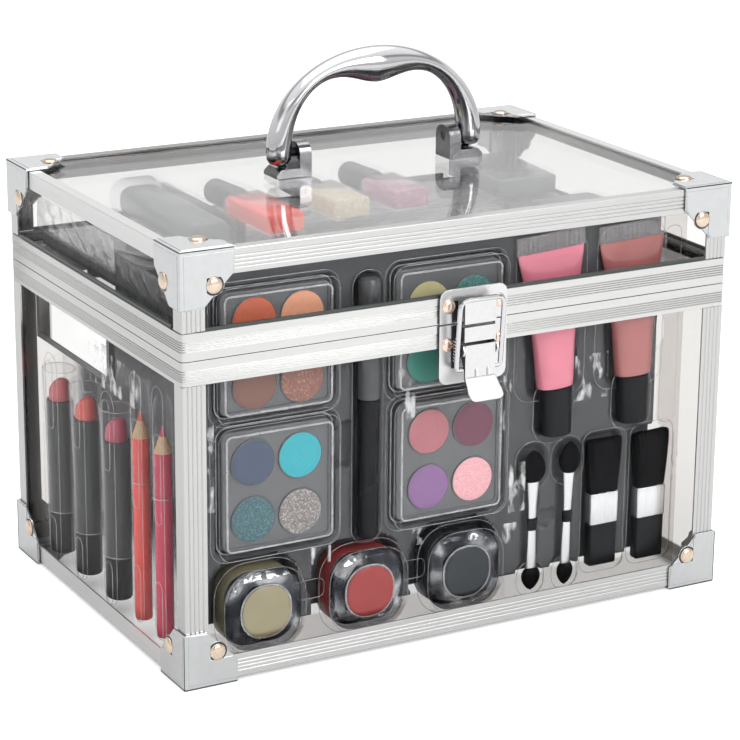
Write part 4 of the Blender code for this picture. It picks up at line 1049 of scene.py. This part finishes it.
def fill_left():
    pencils = ((75.0, (0.62, 0.12, 0.13)), (42.6, (0.76, 0.11, 0.08)), (7.2, (0.52, 0.06, 0.12)))
    liners = ((-25.6, (0.80, 0.075, 0.06), (0.75, 0.07, 0.05)), (-49.4, (0.60, 0.03, 0.085), (0.5, 0.03, 0.09)))
    for k, (v, colour) in enumerate(pencils, 1):
        lip_pencil(k, v, colour)
    for k, (v, colour, tip) in enumerate(liners, 1):
        lip_liner(k, v, colour, tip)
    seats = [(-v, 54.0, 18, 106, 8, 14.0, 5.0) for v, _ in pencils]
    seats += [(-v, 65.0, 14, 120, 6, 12.0, 4.5) for v, _, _ in liners]
    seats += [(-v - 16, 80.0, 10, 30, 5, 5.0, 3.0) for v, _ in pencils]

    for k, (v, _) in enumerate(pencils, 1):
        outline(f"pencil_pocket_top_{k}", "left", -v + 4.6, 88, 8.0, 34, 3.9, 134.2, "base")
        outline(f"pencil_pocket_low_{k}", "left", -v + 4.6, 15.5, 8.0, 21, 3.9, 134.2, "base")
        outline(f"pencil_pocket_{k}", "left", -v, 55, 15.0, 104, 7, 131.4, "base")
    for k, (v, _, _) in enumerate(liners, 1):
        outline(f"liner_pocket_top_{k}", "left", -v + 3.8, 84, 7.0, 42, 3.4, 133.8, "base")
        outline(f"liner_pocket_low_{k}", "left", -v + 3.6, 22, 7.0, 27, 3.4, 133.8, "base")
        outline(f"liner_pocket_{k}", "left", -v, 66, 11.5, 119, 5.5, 131.6, "base")
    crumple("side_glare_1", "left", (-24, 34, -9, 9), 132.6, 0.6, "base", "glint", middle=(0, 118))

    def rise(u, v):
        return bump_field(u, v, seats) + ripple(u, v, ((50, 110, 10, 0.5), (-30, 112, 12, 0.5),
                (-88, 60, 8, 0.4)))

    film = sheet_grid("side_tray_film", (-92.5, 64.5, 5.4, 143.5), 1.4, rise, place("left", 0, 0, 120.6), "base",
            "film_side", 0.3)
    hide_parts("side_tray_cover")


# nail polish bottles in the lid: foot (x, y), turn in degrees and length without the cap
BOTTLES = ((-45.0, -5.0, 2, 46), (-5.0, 5.5, 1, 38), (29.5, 9.5, 2, 35))


def along(u, v, turn, length):
    """Middle of a piece of some length that starts at (u, v) and points along +Y, turned by turn degrees."""
    a = math.radians(turn)
    return u - math.sin(a) * length / 2, v + math.cos(a) * length / 2


def lid_trays():
    """The clear tray of the lid with its raised deck, and the formed film over what lies on it."""
    deck = ((18.0, 12.0, 218, 150, 10, 15.4, 3.0), (-113.0, 12.0, 42, 156, 6, 7.6, 3.0))
    creases = ((-60, -40, 26, 0.30), (10, -45, 30, 0.30), (80, 20, 30, 0.25), (20, 75, 30, 0.25))
    tray = sheet_grid("lid_tray_sheet", (-133.0, 133.0, -71.0, 95.0), 1.8,
            lambda u, v: bump_field(u, v, deck) + ripple(u, v, creases), place("top", 0, 0, 151.0), "lid",
            "deck", 0.5)
    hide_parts("lid_tray")
    covers = []
    for u, v, turn, length in BOTTLES:
        cu, cv = along(u, v, turn, length + 30)
        covers.append((cu, cv, 25, length + 36, 7, 17.2, 5.0, turn))
    covers += [(-83.5, 40, 33, 100, 10, 20.0, 6.0, -1.0), (112, 62, 38, 60, 5, 9.8, 4.0, -4.0),
            (106, -26, 40, 48, 6, 9.4, 4.0, 3.0)]
    folds = ((-100, 0, 30, 0.5), (-20, -40, 40, 0.45), (70, -10, 35, 0.5), (60, 70, 30, 0.4))
    film = sheet_grid("lid_film", (-101.0, 127.0, -60.0, 84.0), 1.8,
            lambda u, v: bump_field(u, v, covers) + ripple(u, v, folds), place("top", 0, 0, 168.0), "lid",
            "film_lid", 0.2)
    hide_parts("lid_tray_cover")


def fill_lid():
    colours = (((1.0, 0.075, 0.04), None), ((0.60, 0.48, 0.33), (2200, 0.3, (0.98, 0.90, 0.72))),
            ((0.42, 0.17, 0.26), (2200, 0.2, (0.75, 0.55, 0.66))))
    for k, ((u, v, turn, length), (colour, flake)) in enumerate(zip(BOTTLES, colours), 1):
        nail_polish(k, u, v, turn, colour, length, flake)
    lid_trays()
    loft("long_bottle", prism_rings(27, 19, 8, edge(0, 92, 3.0)),
         place("top", -83.5, -6, 176.8, turn=-1.0) @ UP, "lid", "cap_clear")
    loft("long_bottle_core", prism_rings(22, 14, 6, edge(2, 84, 2.5)),
         place("top", -83.5, -5, 176.6, turn=-1.0) @ UP, "lid", "frosted")
    loft("long_bottle_side", prism_rings(2.4, 10, 0.9, edge(0, 92, 0.8)),
         place("top", -68.3, -7, 176.8, turn=-1.0) @ UP, "lid", "black")
    flat = ((0.6, 0), (0, 0.5), (0, 5.6), (0.5, 6.2), (1.6, 6.2), (2.0, 5.2))
    loft("lid_palette_left", prism_rings(30, 87, 3, flat), place("top", -115.8, 40.5, 159.0), "lid", "wrap")
    loft("lid_palette_left_window", prism_rings(25, 82, 2, edge(0, 1.0, 0.4)),
         place("top", -115.8, 40.5, 164.3), "lid", "lid_clear")
    loft("lid_palette_right", prism_rings(34, 56, 3, edge(0, 8.5, 0.8)),
         place("top", 109.5, 60, 167.6, turn=-4), "lid", "frosted")
    loft("lid_palette_right_window", prism_rings(29, 50, 2, edge(0, 1.2, 0.4)),
         place("top", 109.5, 60, 176.2, turn=-4), "lid", "lid_clear")
    loft("lid_compact", prism_rings(36, 44, 4, edge(0, 8.0, 0.8)), place("top", 104.0, -26, 167.6, turn=3), "lid",
         "frosted")
    crumple("lid_dark_wrap", "left", (-31, 31, -9, 9), 130.6, 0.9, "lid", "wrap", middle=(35, 166.0))
    veil = crumple("lid_end_film", "left", (-46, 46, -8, 8), 130.0, 1.0, "lid", "veil", middle=(-44, 173.5))


make_world()
make_camera()
make_stage()
area_light("key", (0.5, -2.2, 1.3), 1.6, 1.2, 26)
area_light("top", (0.1, 0.3, 2.3), 2.4, 2.0, 20)
area_light("fill", (-1.9, -0.9, 1.3), 1.2, 1.4, 3)
finish_frame()
cap_dress()
gaskets()
latch_dress()
small_fixings()
fill_front()
fill_left()
fill_lid()

scene = bpy.context.scene
scene.view_settings.view_transform = "Standard"
scene.cycles.transparent_max_bounces = 40
scene.cycles.max_bounces = 14
